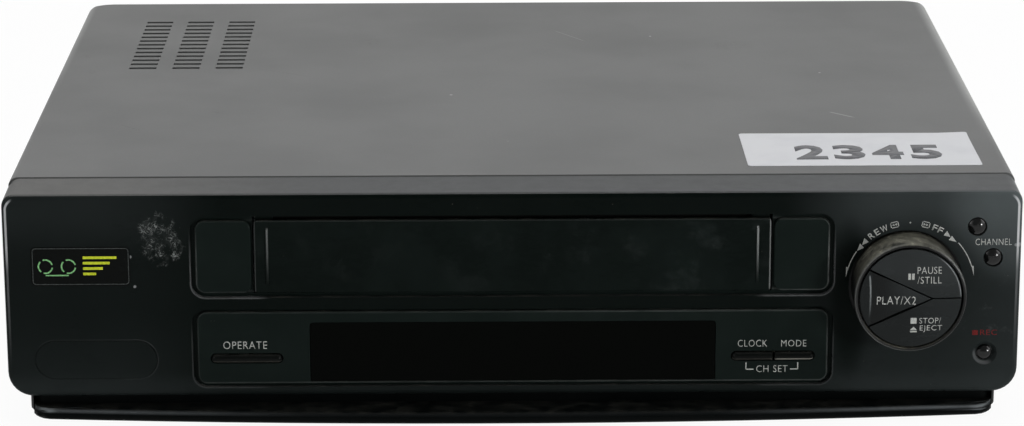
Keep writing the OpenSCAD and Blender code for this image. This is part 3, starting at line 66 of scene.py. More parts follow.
class Wire:
    def __init__(self, surface, socket):
        self.surface = surface
        self.socket = socket

    def maths(self, operation, *others):
        sockets = dict(enumerate([self, *others]))
        return self.surface.add("ShaderNodeMath", {"operation": operation}, sockets)

    def flipped(self, operation, other):
        return self.surface.add("ShaderNodeMath", {"operation": operation}, {0: other, 1: self})

    def __add__(self, other): return self.maths("ADD", other)
    def __radd__(self, other): return self.maths("ADD", other)
    def __sub__(self, other): return self.maths("SUBTRACT", other)
    def __rsub__(self, other): return self.flipped("SUBTRACT", other)
    def __mul__(self, other): return self.maths("MULTIPLY", other)
    def __rmul__(self, other): return self.maths("MULTIPLY", other)
    def __truediv__(self, other): return self.maths("DIVIDE", other)
    def __rtruediv__(self, other): return self.flipped("DIVIDE", other)
    def __pow__(self, other): return self.maths("POWER", other)
    def __abs__(self): return self.maths("ABSOLUTE")

    def clamp(self, low=0.0, high=1.0):
        return self.maths("MAXIMUM", low).maths("MINIMUM", high)

    # 0 below start, 1 above end and smooth between them
    def rise(self, start, end):
        return self.surface.add("ShaderNodeMapRange", {"interpolation_type": "SMOOTHSTEP"},
                                {"Value": self, "From Min": start, "From Max": end})

    # 1 from full to fade, and 0 before start and after end
    def band(self, start, full, fade, end):
        return self.rise(start, full) * (1 - self.rise(fade, end))


# One material and its nodes
class Surface:
    def __init__(self, name):
        self.material = bpy.data.materials.new(name)
        self.material.use_nodes = True
        self.tree = self.material.node_tree
        self.tree.nodes.clear()

    # Any node by its type, its settings and the values or links of its sockets
    def add(self, kind, settings=None, sockets=None, out=0):
        node = self.tree.nodes.new(kind)
        for name, value in (settings or {}).items():
            setattr(node, name, value)
        for name, value in (sockets or {}).items():
            self.feed(node.inputs[name], value)
        return Wire(self, node.outputs[out]) if node.outputs else None

    def feed(self, socket, value):
        if isinstance(value, Wire):
            self.tree.links.new(value.socket, socket)
        else:
            socket.default_value = value


class Finish(Surface):
    def __init__(self, name, color, roughness, constants=None):
        super().__init__(name)
        shader = self.add("ShaderNodeBsdfPrincipled", {}, {
            "Base Color": color, "Roughness": roughness, **(constants or {})})
        self.add("ShaderNodeOutputMaterial", {}, {"Surface": shader})
        self.shader = shader.socket.node
        self.place = self.add("ShaderNodeTexCoord", out="Object")
        x, y, z = self.parts(self.place)
        self.x, self.depth, self.z = x / mm, (y - frontY) / mm, z / mm
        self.upward = self.parts(self.add("ShaderNodeTexCoord", out="Normal"))[2]

    def parts(self, vector):
        split = self.add("ShaderNodeSeparateXYZ", {}, {0: vector}).socket.node
        return [Wire(self, socket) for socket in split.outputs]

    def stretched(self, x=1.0, y=1.0, z=1.0, turn=0.0):
        return self.add("ShaderNodeMapping", {}, {"Vector": self.place, "Scale": (x, y, z),
                                                  "Rotation": (0, math.radians(turn), 0)})

    # Noise whose blobs are about size across
    def noise(self, size, detail=2.0, rough=0.5, where=None, bent=0.0):
        return self.add("ShaderNodeTexNoise", {}, {
            "Vector": where or self.place, "Scale": 1 / (size * mm), "Detail": detail,
            "Roughness": rough, "Distortion": bent})

    # Small dots about gap apart
    def dots(self, gap, radius):
        nearest = self.add("ShaderNodeTexVoronoi", {},
                           {"Vector": self.place, "Scale": 1 / (gap * mm)})
        return 1 - nearest.rise(radius / gap * 0.5, radius / gap)

    def blend(self, mask, first, second):
        return self.add("ShaderNodeMix", {"data_type": "RGBA"},
                        {0: mask, 6: first, 7: second}, out=2)

    # 1 inside an ellipse and 0 outside it, soft over its rim
    def patch(self, u, v, centreU, centreV, radiusU, radiusV, soft):
        far = ((u - centreU) / radiusU) ** 2 + ((v - centreV) / radiusV) ** 2
        return 1 - far.rise(1 - soft, 1 + soft)

    # 1 along a straight mark between two points of a plane
    def streak(self, u, v, start, end, width):
        along = Vector((end[0] - start[0], end[1] - start[1]))
        length = along.length
        along.normalize()
        side = abs((u - start[0]) * along.y - (v - start[1]) * along.x)
        run = (u - start[0]) * along.x + (v - start[1]) * along.y
        run = run.band(0, length * 0.15, length * 0.8, length)
        return (1 - side.rise(width * 0.4, width)) * run

    # Distance from the outline of a rounded field, below 0 inside it
    def field(self, u, v, left, right, low, high, corner):
        outU = abs(u - (left + right) / 2) - ((right - left) / 2 - corner)
        outV = abs(v - (low + high) / 2) - ((high - low) / 2 - corner)
        beyond = (outU.maths("MAXIMUM", 0.0) ** 2 + outV.maths("MAXIMUM", 0.0) ** 2) ** 0.5
        return beyond + outU.maths("MAXIMUM", outV).maths("MINIMUM", 0.0) - corner

    # 1 where a value equals the given one and 0 from width away
    def line(self, value, at, width):
        return 1 - abs(value - at).rise(width * 0.35, width)

    # Painted edge highlights are patchy along their length
    def patchyGlint(self):
        return self.noise(9, 4.0, 0.7).rise(0.3, 0.6) * 0.5 + 0.5

    # What a socket of the shader has so far, a link or a plain colour
    def now(self, name):
        socket = self.shader.inputs[name]
        if socket.links:
            return Wire(self, socket.links[0].from_socket)
        return tuple(socket.default_value)

    # Lays a colour on as thickly as the mask says
    def paint(self, mask, color):
        self.color(self.blend(mask.clamp(), self.now("Base Color"), color))

    def color(self, value): self.feed(self.shader.inputs["Base Color"], value)
    def roughness(self, value): self.feed(self.shader.inputs["Roughness"], value.clamp())

    def coat(self, value, roughness, ior):
        self.feed(self.shader.inputs["Coat Weight"], value.clamp())
        self.feed(self.shader.inputs["Coat Roughness"], roughness)
        self.feed(self.shader.inputs["Coat IOR"], ior)

    def bump(self, height, depth, strength=1.0):
        relief = self.add("ShaderNodeBump", {}, {"Height": height, "Distance": depth * mm,
                                                 "Strength": strength})
        self.feed(self.shader.inputs["Normal"], relief)


# Finishes

# Colour, faded colour, roughness, reflection and dustiness of each moulding
mouldedLooks = {
    "caseMoulding": (srgb(8, 14, 12), srgb(18, 25, 23), 0.3, 0.03, 0.8),
    "frontMoulding": (srgb(3, 8, 6), srgb(7, 12, 10), 0.32, 0.03, 0.8),
    "insetMoulding": (srgb(14, 21, 19), srgb(24, 31, 29), 0.34, 0.03, 0.6),
    "plinthMoulding": (srgb(4, 6, 6), srgb(8, 10, 10), 0.4, 0.03, 0.25),
    "dullMoulding": (srgb(26, 27, 28), srgb(38, 40, 41), 0.6, 0.3, 0.3),
    "segmentMoulding": (srgb(12, 16, 16), srgb(20, 24, 24), 0.24, 0.14, 0.25),
    "barMoulding": (srgb(9, 11, 10), srgb(14, 16, 15), 0.24, 0.05, 0.3),
    "keyMoulding": (srgb(6, 7, 7), srgb(10, 11, 11), 0.13, 0.3, 0.2),
}
mouldedDetail = {"dust": srgb(120, 118, 110), "grain": 0.35, "grainDepth": 0.006, "cloud": 38,
                 "wipe": 9, "specks": (7, 0.24), "speckClouds": 24, "settled": 6}


def moulded(name):
    color, faded, roughness, reflection, dusty = mouldedLooks[name]
    detail = mouldedDetail
    finish = Finish(name, color, roughness, {"Specular IOR Level": reflection})
    cloud = finish.noise(detail["cloud"], 3.0, 0.6)
    wipes = finish.noise(detail["wipe"], 4.0, 0.65, finish.stretched(1, 1, 3, 25))
    specks = finish.dots(*detail["specks"]) * finish.noise(detail["speckClouds"]).rise(0.45, 0.65)
    settled = finish.upward.rise(0.55, 0.95)
    settled = settled * finish.noise(detail["settled"], 5.0, 0.7).rise(0.35, 0.8)
    finish.paint(cloud.rise(0.35, 0.75) * 0.6 + wipes.rise(0.5, 0.8) * 0.3, faded)
    finish.paint((settled * 0.3 + specks * 0.45) * dusty, detail["dust"])
    finish.roughness(wipes.rise(0.45, 0.7) * 0.12 + cloud.rise(0.3, 0.7) * 0.06 + settled * 0.2
                     + roughness - 0.06)
    finish.bump(finish.noise(detail["grain"], 2.0, 0.6), detail["grainDepth"])
    return finish


# Colours and places of the front's marks, among them its painted reflection, painted shadow and
# painted highlights
panelMarks = {
    "paintedSheen": srgb(84, 90, 91), "rim": srgb(128, 130, 131), "shine": srgb(176, 178, 180),
    "top": srgb(94, 95, 96), "topSheenLeft": srgb(106, 106, 105), "scuffColor": srgb(164, 168, 166),
    "scuff": (-131, 72.6, 9.2, 10.4), "hairs": [(4.2, 0.013), (2.6, 0.015)],
    "corner": (192, 84, 26, 24), "shade": (126, 48, 7, 26), "smear": (178, 44, 14, 16),
    "upper": (-120.1, 120.1, 49.7, 81.3, 5.3), "lower": (-120.1, 120.1, 14.5, 45.2, 5.0),
    "oval": (-179.6, -133.2, 17.9, 33.4, 7.7), "outline": (-190, 190, 11, 90, 6),
    "dish": (177.4, 26.5, 3.9),
    "specks": [(-141.1, 54.3, 0.55), (-142.6, 65.9, 0.6), (189.0, 68.9, 0.8), (187.8, 68.9, 0.6)],
}


def frontFinish():
    finish = moulded("frontMoulding")
    marks = panelMarks
    u, v, wide = finish.x, finish.z, abs(finish.x)
    front = 1 - finish.depth.rise(0.3, 1.6)
    # Painted reflection: the face is lighter towards both ends, the top right most of all, and a
    # painted shadow darkens it left of the dial
    left = v.rise(62, 84) * 0.07 + (1 - v.rise(14, 46)) * 0.05 + 0.03
    left = (1 - u.rise(-150, -104)) * left
    right = u.rise(98, 142) * (v.rise(66, 86) * 0.19 + (1 - v.rise(14, 40)) * 0.02 + 0.1)
    corner = finish.patch(u, v, *marks["corner"], 0.9) * 0.36
    low = (1 - v.rise(14, 22)) * 0.06 + u.rise(160, 190) * 0.05
    # Painted shadow to the left of the dial
    shade = 1 - finish.patch(u, v, *marks["shade"], 0.8) * 0.95
    paintedSheen = (left + right + corner + low + 0.01) * shade
    finish.paint(paintedSheen * (finish.noise(26, 3.0, 0.6) * 0.5 + 0.75), marks["paintedSheen"])
    # A torn-off label has left curled hairs of glue, thickest round its rim
    scuffU, scuffV, scuffWide, scuffTall = marks["scuff"]
    far = (((u - scuffU) / scuffWide) ** 2 + ((v - scuffV) / scuffTall) ** 2) ** 0.5
    far = far + finish.noise(3.2, 3.0, 0.7) * 1.1 - 0.55
    area = 1 - far.rise(0.75, 1.0)
    curls = 0
    for size, width in marks["hairs"]:
        curls = finish.line(finish.noise(size, 2.5, 0.55, bent=0.8), 0.5, width) + curls
    clumps = finish.noise(5.2, 3.0, 0.65).rise(0.42, 0.62) * (far.rise(0.1, 0.8) * 0.5 + 0.4)
    torn = (area * curls * clumps).clamp()
    finish.paint(torn * front * 0.52 + area * clumps * front * 0.04, marks["scuffColor"])
    smear = finish.patch(u, v, *marks["smear"], 0.8) * finish.noise(5, 5.0, 0.7).rise(0.55, 0.8)
    finish.paint(smear * front * 0.12, marks["rim"])
    # Painted highlights on the moulded edges of the two openings and the oval
    upper, lower = (finish.line(finish.field(u, v, *marks[key]), 0.15, 0.45)
                    for key in ("upper", "lower"))
    ends = wide.rise(90, 96)
    edges = upper * ends * (1 - v.rise(60, 78)) * 0.3 + lower * ends * (1 - v.rise(30, 42)) * 0.1
    oval = finish.line(finish.field(u, v, *marks["oval"]), 0, 0.3)
    edges = edges + oval * (u.rise(-152, -134) + v.rise(29, 33) * 0.7) * 0.07
    finish.paint(edges * finish.patchyGlint(), marks["rim"])
    # Pale specks, and a painted highlight on the lower left of the record button's dish
    spots = 0
    for x, z, size in marks["specks"]:
        spots = finish.patch(u, v, x, z, size, size, 0.5) + spots
    dishU, dishV = u - marks["dish"][0], v - marks["dish"][1]
    dish = finish.line((dishU ** 2 + dishV ** 2) ** 0.5, marks["dish"][2], 0.8)
    dish = dish * (0 - dishU * 0.7 - dishV).rise(0.4, 3.6)
    finish.paint(spots * 0.8 + dish * 0.28, marks["rim"])
    # The rounded ends get a painted highlight and a glossy coat, the right one most
    shine = finish.line(finish.field(u, v, *marks["outline"]), -1.5, 0.6) * wide.rise(185.5, 188)
    fall = u.rise(0, 10) * (v.rise(58, 72) * 0.75 + v.rise(20, 60) * 0.12)
    fall = fall + (1 - u.rise(-10, 0)) * (v.rise(58, 70) * 0.55 + v.rise(20, 60) * 0.14)
    shine = shine * fall
    finish.paint(shine, marks["shine"])
    # Painted reflection of the pale surroundings on the top, faintly mottled
    topSheen = finish.upward.rise(0.7, 0.93) * (v.rise(84, 87) * 0.85 + 0.08)
    topSheen = topSheen * (wide.rise(60, 180) * 0.1 + 0.98) * (finish.noise(0.7) * 0.1 + 0.95)
    finish.paint(topSheen, finish.blend(1 - u.rise(-170, -50), marks["top"], marks["topSheenLeft"]))
    gloss = finish.now("Roughness")
    finish.roughness(gloss + torn * front * 0.35 + topSheen * 0.25 - shine * 0.1)
    finish.coat(shine * 1.2, 0.12, 1.9)
    return finish


# Colours of the inset's painted light and painted edge highlights, and the outlines the highlights
# follow
insetMarks = {"edge": srgb(128, 132, 130), "lit": srgb(24, 31, 29), "strip": 16.2,
              "upper": (-118.4, 118.4, 51.4, 79.6, 3.6), "lower": (-118.4, 118.4, 15.7, 44.0, 3.6)}


def insetFinish():
    finish = moulded("insetMoulding")
    marks = insetMarks
    u, v = finish.x, finish.z
    # Painted highlights along the edges of both openings and along the strip under the window,
    # stronger to the right
    upper, lower = (finish.line(finish.field(u, v, *marks[key]), -0.3, 0.5)
                    for key in ("upper", "lower"))
    strip = finish.line(v, marks["strip"], 0.45)
    right = u.rise(-20, 60)
    upper = upper * (1 - v.rise(66, 77) * 0.8) * (v.rise(51.5, 56) * 0.6 + 0.4)
    edges = upper * (right * 0.3 + 0.2) + lower * (right * 0.07 + 0.06) + strip * 0.07
    # Painted light: the inset is lighter upwards and to the right
    finish.paint((v.rise(14, 40) * 0.1 + right * 0.25) * 0.25, marks["lit"])
    finish.paint(edges * finish.patchyGlint(), marks["edge"])
    return finish


# Colours of the smudges and of the painted edge highlights, and where the highlights run
doorMarks = {"edge": srgb(140, 143, 142), "smudge": srgb(40, 45, 44), "end": 96.15, "rib": 91.45,
             "ribFrom": 54.0, "ribTo": 77.0, "top": 79.3}


def doorFinish():
    finish = moulded("caseMoulding")
    marks = doorMarks
    v, wide = finish.z, abs(finish.x)
    right = finish.x.rise(-20, 60)
    # Painted highlights along the door's ends, its ribs and its top edge, stronger to the right
    ends = finish.line(wide, marks["end"], 0.4) * (right * 0.4 + 0.12)
    rib = finish.line(wide, marks["rib"], 0.5) * v.rise(marks["ribFrom"], marks["ribTo"])
    rib = rib * (1 - v.rise(marks["ribTo"] - 0.8, marks["ribTo"])) * (right * 0.45 + 0.4)
    top = finish.line(v, marks["top"], 0.35) * 0.05
    smudges = finish.noise(15, 5.0, 0.65).rise(0.5, 0.75) * (right * 0.6 + 0.3)
    finish.paint(smudges * 0.6, marks["smudge"])
    finish.paint((ends + rib + top) * (1 - finish.depth.rise(0.3, 1.2)), marks["edge"])
    return finish


plinthMarks = {"nose": srgb(98, 102, 104), "ends": (70, 165), "glint": (171, 175, 176.5, 179)}


# A painted highlight along the nose, strongest towards its ends and most of all where it starts to
# curve back
def plinthFinish():
    finish = moulded("plinthMoulding")
    marks = plinthMarks
    wide = abs(finish.x)
    nose = finish.upward.band(0.2, 0.66, 0.66, 0.97) * (1 - finish.depth.rise(4, 8))
    shine = wide.rise(*marks["ends"]) * (finish.x.rise(-20, 60) * 0.2 + 0.42) + 0.03
    finish.paint(nose * (shine + wide.band(*marks["glint"]) * 0.8), marks["nose"])
    return finish


barMarks = {"edge": srgb(150, 148, 140), "under": (0.3, 0.5, 0.72, 0.9)}


def barFinish():
    finish = moulded("barMoulding")
    # A painted highlight along the underside of each bar, brightest on the mode button
    glint = (0 - finish.upward).band(*barMarks["under"]) * (1 - finish.depth.rise(0, 0.8))
    finish.paint(glint * (finish.x.rise(96, 101) * 0.5 + 0.08), barMarks["edge"])
    return finish


# Colours of the painted light, painted highlights and painted shade on the dial's buttons
segmentMarks = {"lit": srgb(62, 66, 67), "edge": srgb(170, 174, 175), "crease": srgb(130, 134, 135),
                "scoopShade": srgb(7, 9, 9), "arc": 18.5, "creaseAt": -14.9}


# Across, up and outwards from the dial's axis
def dialPlace(finish):
    u, v = finish.x - dialX, finish.z - dialZ
    return u, v, (u ** 2 + v ** 2) ** 0.5


def segmentFinish():
    finish = moulded("segmentMoulding")
    marks = segmentMarks
    u, v, radius = dialPlace(finish)
    front = 1 - finish.depth.rise(dialFront + 2.0, dialFront + 2.6)
    # Painted light: lighter upwards and to the right
    finish.paint(v.rise(-4, 12) * 0.26 + u.rise(-6, 14) * 0.08, marks["lit"])
    # A painted highlight along the outer edge at the right
    arc = finish.line(radius, marks["arc"], 0.3) * u.rise(6, 12) * v.band(-1, 3, 12, 17) * front
    finish.paint(arc * 0.4, marks["edge"])
    return finish


# On the finger scoop, a painted highlight along the bowed crease on its left, painted shade in the
# hollow beside it, and painted light towards the upper right
def playFinish():
    finish = moulded("segmentMoulding")
    finish.material.name = "playMoulding"
    marks = segmentMarks
    u, v = dialPlace(finish)[:2]
    bow = u + v ** 2 * 0.006
    crease = finish.line(bow, marks["creaseAt"], 0.4) * v.band(-9, 4, 8, 9.2)
    finish.paint(bow.band(marks["creaseAt"], -13.6, -12, -3) * 0.75, marks["scoopShade"])
    finish.paint(bow.rise(-11, 2) * v.rise(-8, 6) * 0.35, marks["lit"])
    finish.paint(crease * 0.75, marks["crease"])
    return finish


coverLook = {
    "color": srgb(77, 78, 77), "light": srgb(87, 88, 88), "speck": srgb(180, 180, 178),
    "scratch": srgb(40, 40, 38), "fold": srgb(150, 152, 150), "roughness": 0.5,
    "grain": 0.55, "grainDepth": 0.02, "cloud": 70, "fineSpecks": (26, 0.5),
    "specks": [(-24, 145, 0.6), (62, 248, 0.5), (130, 180, 0.5)],
    "stains": [(-180.5, 215, 2.6, 3.2), (-175.3, 187, 2.2, 2.8), (-117, 118.4, 2.4, 2.4),
               (-60, 240, 5, 6), (96, 230, 8, 8)],
    "scratches": [((-106.8, 192.4), (-82.3, 176.6), 0.4), ((-154.9, 99.1), (-144.9, 88.8), 0.4)],
    "rubs": [((127.6, 114.6), (137.8, 104.5), 0.7), ((20, 260), (34, 238), 0.25)],
}


def coverFinish():
    look = coverLook
    finish = Finish("coverPaint", look["color"], look["roughness"], {"Specular IOR Level": 0.45})
    u, v = finish.x, finish.depth
    grain = finish.noise(look["grain"], 3.0, 0.55)
    cloud = finish.noise(look["cloud"], 3.0, 0.55)
    # A painted sheen, lighter towards the front, over a faint mottle
    frontSheen = (1 - v.rise(120, 300)) * 0.3
    finish.paint(cloud.rise(0.35, 0.75) * 0.15 + frontSheen + 0.1, look["light"])
    finish.paint(grain.rise(0.5, 0.75) * 0.2, look["light"])
    spots = finish.dots(*look["fineSpecks"]) * 0.4
    for x, y, size in look["specks"]:
        spots = spots + finish.patch(u, v, x, y, size, size * 1.4, 0.5)
    stains = sum(finish.patch(u, v, *stain, 0.9) for stain in look["stains"])
    lines, rubs = (sum(finish.streak(u, v, *mark) for mark in look[key])
                   for key in ("scratches", "rubs"))
    topSide = finish.upward.rise(0.6, 0.9)
    blotches = finish.noise(1.5, 4.0, 0.7).rise(0.4, 0.7)
    finish.paint(stains * topSide * blotches * 0.35, look["scratch"])
    finish.paint(spots * topSide * 0.5, look["speck"])
    finish.paint(rubs * topSide * 0.3, look["speck"])
    finish.paint(lines * topSide * grain.rise(0.35, 0.6) * 0.45, look["scratch"])
    edge = finish.z.band(coverTop - 3.2, coverTop - 2.0, coverTop - 1.2, coverTop - 0.4)
    finish.paint(edge * finish.noise(14, 5.0, 0.7).rise(0.55, 0.75) * 0.3, look["speck"])
    # A painted highlight along the long folds, the right one most, where they are also made
    # glossier
    rightFold = u.rise(183.5, 188) * v.rise(60, 160)
    leftFold = (1 - u.rise(-188.5, -185)) * v.rise(130, 240)
    folds = (rightFold * 0.55 + leftFold * 0.3) * finish.upward.rise(0.15, 0.5)
    finish.paint(folds, look["fold"])
    finish.roughness(cloud.rise(0.3, 0.8) * 0.1 + grain * 0.1 + look["roughness"] - 0.08
                     - folds * 0.15)
    finish.bump(grain, look["grainDepth"], 0.8)
    return finish


def windowFinish():
    finish = Finish("smokedWindow", srgb(3, 4, 3), 0.12, {"Specular IOR Level": 0.02})
    wipes = finish.noise(12, 4.0, 0.7, finish.stretched(0.5, 1, 2, 20))
    finish.roughness(wipes.rise(0.5, 0.8) * 0.1 + 0.1)
    finish.paint(finish.dots(9, 0.15) * 0.12, srgb(70, 70, 68))
    finish.bump(finish.noise(40, 1.0), 0.02, 0.4)
    return finish


# Colours of the dust film and of the painted highlights, the lip's radius and the depths of the
# painted reflections
ringLook = {"color": srgb(14, 15, 15), "dust": srgb(108, 107, 96), "bright": srgb(156, 153, 138),
            "edge": srgb(120, 122, 120), "lip": 20.55, "glintDepths": [(3.4, 0.35), (5.4, 0.25)]}


def ringFinish():
    look = ringLook
    finish = Finish("ringMoulding", look["color"], 0.4, {"Specular IOR Level": 0.2})
    u, v, radius = dialPlace(finish)
    depth = finish.depth - dialFront
    ribs = finish.noise(2.0, 5.0, 0.75, finish.stretched(1, 0.35, 1))
    film = finish.noise(7, 4.0, 0.65).rise(0.3, 0.6) * 0.6 + ribs.rise(0.35, 0.7) * 0.5
    film = (finish.upward.rise(0.1, 0.85) * film * (1 - u.rise(3, 15) * 0.55)).clamp()
    finish.paint(film * 0.78, look["dust"])
    finish.paint(film * ribs.rise(0.55, 0.75) * 0.6, look["bright"])
    # A painted highlight on the lip on the left, below and at the upper right, and painted
    # reflections in two lines round the upper right of the side
    lipGlint = (1 - u.rise(-16, 2)) * 0.35 + (1 - v.rise(-18, -6)) * 0.2
    lipGlint = lipGlint + u.rise(6, 16) * v.rise(0, 10) * 0.45
    lip = finish.line(radius, look["lip"], 0.4) * (1 - depth.rise(0.9, 1.6)) * lipGlint
    # Two painted reflections round the upper right of the side
    sideGlints = sum(finish.line(depth, at, width) for at, width in look["glintDepths"])
    sideGlints = sideGlints * u.rise(4, 10) * v.rise(2, 9) * 0.75
    finish.paint(lip + sideGlints, look["edge"])
    finish.roughness(film * 0.3 + 0.32)
    finish.bump(finish.noise(0.5), 0.012)
    return finish


printColors = {
    "legendGrey": (srgb(146, 148, 146), srgb(182, 183, 178)),
    "legendRed": (srgb(74, 12, 12), srgb(104, 22, 20)),
    "outlineGrey": (srgb(36, 40, 40), srgb(66, 70, 68)),
    "legendLime": (srgb(164, 176, 30), srgb(206, 214, 54)),
    "legendMint": (srgb(96, 150, 96), srgb(132, 186, 128)),
    "inkGrey": (srgb(82, 83, 86), srgb(104, 105, 108)),
}


# Screen printing, mottled between two tones
def printFinish(name):
    dark, light = printColors[name]
    finish = Finish(name, dark, 0.45, {"Specular IOR Level": 0.15})
    mottle = finish.noise(0.5, 3.0, 0.7)
    finish.paint(mottle.rise(0.3, 0.7), light)
    finish.roughness(mottle * 0.2 + 0.35)
    finish.bump(mottle, 0.01, 0.5)
    return finish


# A fine grain gives roughness and relief, and a coarser one spreads the stain
plainLooks = {
    "tagPaper": {"color": srgb(204, 205, 208), "stain": srgb(190, 191, 196), "cover": 0.5,
                 "patches": (16, 3.0, 0.6), "spread": (0.4, 0.8), "grain": (0.8, 5.0, 0.7),
                 "relief": (0.03, 0.6), "roughness": 0.62, "vary": 0.2, "reflection": 0.5},
    "rearPaint": {"color": srgb(38, 39, 40), "stain": srgb(84, 82, 78), "cover": 0.4,
                  "patches": (18, 5.0, 0.7), "spread": (0.5, 0.8), "grain": (0.5, 3.0, 0.5),
                  "relief": (0.02, 0.7), "roughness": 0.45, "vary": 0.2, "reflection": 0.5},
    "softRubber": {"color": srgb(20, 20, 20), "stain": srgb(70, 68, 64), "cover": 0.5,
                   "patches": (3, 5.0, 0.7), "spread": (0.5, 0.8), "grain": (3, 5.0, 0.7),
                   "relief": (0.05, 0.6), "roughness": 0.68, "vary": 0.2, "reflection": 0.5},
    # A near-black cloth for the strip that keeps the gap above the door in shade
    "shadeFelt": {"color": srgb(10, 10, 10), "stain": srgb(28, 28, 27), "cover": 0.5,
                 "patches": (0.5, 4.0, 0.7), "spread": (0.4, 0.7), "grain": (0.5, 4.0, 0.7),
                 "relief": (0.1, 0.8), "roughness": 0.88, "vary": 0.1, "reflection": 0.05},
}


def plainFinish(name):
    look = plainLooks[name]
    finish = Finish(name, look["color"], look["roughness"],
                    {"Specular IOR Level": look["reflection"]})
    grain = finish.noise(*look["grain"])
    patches = finish.noise(*look["patches"]).rise(*look["spread"])
    finish.paint(patches * look["cover"], look["stain"])
    finish.roughness(grain * look["vary"] + look["roughness"])
    finish.bump(grain, *look["relief"])
    return finish


def stickerFinish():
    finish = Finish("stickerFilm", srgb(9, 11, 10), 0.2, {"Specular IOR Level": 0.04})
    lift = finish.noise(10, 3.0, 0.6)
    finish.roughness(lift.rise(0.4, 0.8) * 0.18 + 0.16)
    finish.paint(finish.dots(4, 0.15) * 0.3, srgb(90, 90, 84))
    finish.bump(lift, 0.08, 0.5)
    return finish


# Colour, roughness, size of the spangle and strength of the brushing
metalLooks = {
    "zincPlate": (srgb(176, 179, 182), 0.34, 9.0, 0.5),
    "turnedAlloy": (srgb(196, 198, 200), 0.26, 1.4, 1.0),
    "groundSteel": (srgb(168, 170, 173), 0.2, 1.0, 1.0),
    "nickelPlate": (srgb(190, 188, 182), 0.22, 3.0, 0.6),
    "springWire": (srgb(150, 152, 156), 0.25, 0.6, 0.5),
    "brassTurning": (srgb(196, 160, 92), 0.28, 1.2, 0.8),
    "coreLaminate": (srgb(88, 84, 80), 0.5, 0.5, 1.0),
}


def metalFinish(name):
    color, level, size, brushing = metalLooks[name]
    finish = Finish(name, color, level, {"Metallic": 1.0})
    dull = tuple(0.62 * part for part in color[:3]) + (1.0,)
    spangle = finish.noise(size, 3.0, 0.6)
    squeeze = 0.08 if brushing > 0.7 else 0.6  # strong brushing draws longer lines
    brushed = finish.noise(0.3, 2.0, 0.6, finish.stretched(1, 1, squeeze))
    finish.paint(spangle.rise(0.35, 0.75) * 0.5, dull)
    finish.roughness(brushed * 0.16 * brushing + spangle * 0.14 + level - 0.1)
    finish.bump(brushed, 0.01, 0.6)
    return finish


boardLook = {"resin": srgb(150, 128, 74), "shade": srgb(138, 118, 66), "track": srgb(170, 166, 150),
             "solder": srgb(180, 180, 176), "trackGap": 9, "joints": (3.4, 0.7)}


def boardFinish():
    look = boardLook
    finish = Finish("resinBoard", look["resin"], 0.5)
    finish.color(finish.add("ShaderNodeTexBrick", {"offset": 0.5}, {
        "Vector": finish.place, "Scale": 1 / (look["trackGap"] * mm), "Mortar Size": 0.08,
        "Color1": look["resin"], "Color2": look["shade"], "Mortar": look["track"]}))
    finish.paint(finish.dots(*look["joints"]) * 0.8, look["solder"])
    finish.roughness(finish.noise(6) * 0.3 + 0.35)
    finish.bump(finish.noise(0.6), 0.02)
    return finish


def acetalFinish():
    finish = Finish("acetal", srgb(222, 218, 206), 0.42)
    grease = finish.noise(6, 4.0, 0.7).rise(0.5, 0.8)
    finish.paint(grease * 0.5, srgb(176, 166, 140))
    finish.roughness(0.5 - grease * 0.25)
    finish.bump(finish.noise(0.5), 0.01)
    return finish


metalNodes = {
    "zincPlate": ["tuner", "deck_plate", "cassette_housing", "basket_carriage", "cassette_basket",
                  "pinch_arm", "idler_arm", "tension_arm", "loading_motor"],
    "turnedAlloy": ["lower_drum", "upper_drum", "capstan_housing", "supply_guide", "takeup_guide",
                    "erase_head", "audio_head"],
    "groundSteel": ["capstan", "guide_posts"], "nickelPlate": ["aerial_sockets"],
    "springWire": ["door_spring"], "brassTurning": ["worm"], "coreLaminate": ["transformer"],
}


def dressNodes():
    looks = [
        (frontFinish(), ["front_panel"]),
        (doorFinish(), ["cassette_door"]),
        (insetFinish(), ["door_surround", "control_panel"]),
        (plinthFinish(), ["plinth"]),
        (moulded("plinthMoulding"), ["feet"]),
        (moulded("dullMoulding"), ["chassis", "dial_hub", "mains_inlet", "scart_socket",
                                   "supply_spindle", "takeup_spindle"]),
        (windowFinish(), ["display_window"]),
        (ringFinish(), ["shuttle_ring"]),
        (segmentFinish(), ["pause_button", "stop_button"]),
        (playFinish(), ["play_button"]),
        (barFinish(), ["operate_button", "clock_button", "mode_button"]),
        (moulded("keyMoulding"), ["channel_up_button", "channel_down_button", "rec_button"]),
        (coverFinish(), ["top_cover"]),
        (plainFinish("rearPaint"), ["rear_panel", "cover_screws", "bottom_plate"]),
        (plainFinish("softRubber"), ["foot_pads", "pinch_roller", "idler_wheel"]),
        (boardFinish(), ["display_board", "key_board", "main_board", "power_board"]),
        (acetalFinish(), ["cam_gear"]),
    ]
    looks += [(metalFinish(name), names) for name, names in metalNodes.items()]
    for finish, names in looks:
        for name in names:
            wear(nodes[name], finish.material)


def wear(piece, material):
    if not piece.material_slots:
        piece.data.materials.append(material)
    for slot in piece.material_slots:
        slot.link = "OBJECT"
        slot.material = material


# Modelling helpers

# A point in the frame from millimetres across, behind the front face and up
def at(x, depth, z):
    return (x * mm, frontY + depth * mm, z * mm)


def free():
    if bpy.context.object and bpy.context.object.mode != "OBJECT":
        bpy.ops.object.mode_set(mode="OBJECT")
    bpy.ops.object.select_all(action="DESELECT")


def only(piece):
    free()
    piece.select_set(True)
    bpy.context.view_layer.objects.active = piece


def settle(piece):
    only(piece)
    bpy.ops.object.transform_apply(location=True, rotation=True, scale=True)


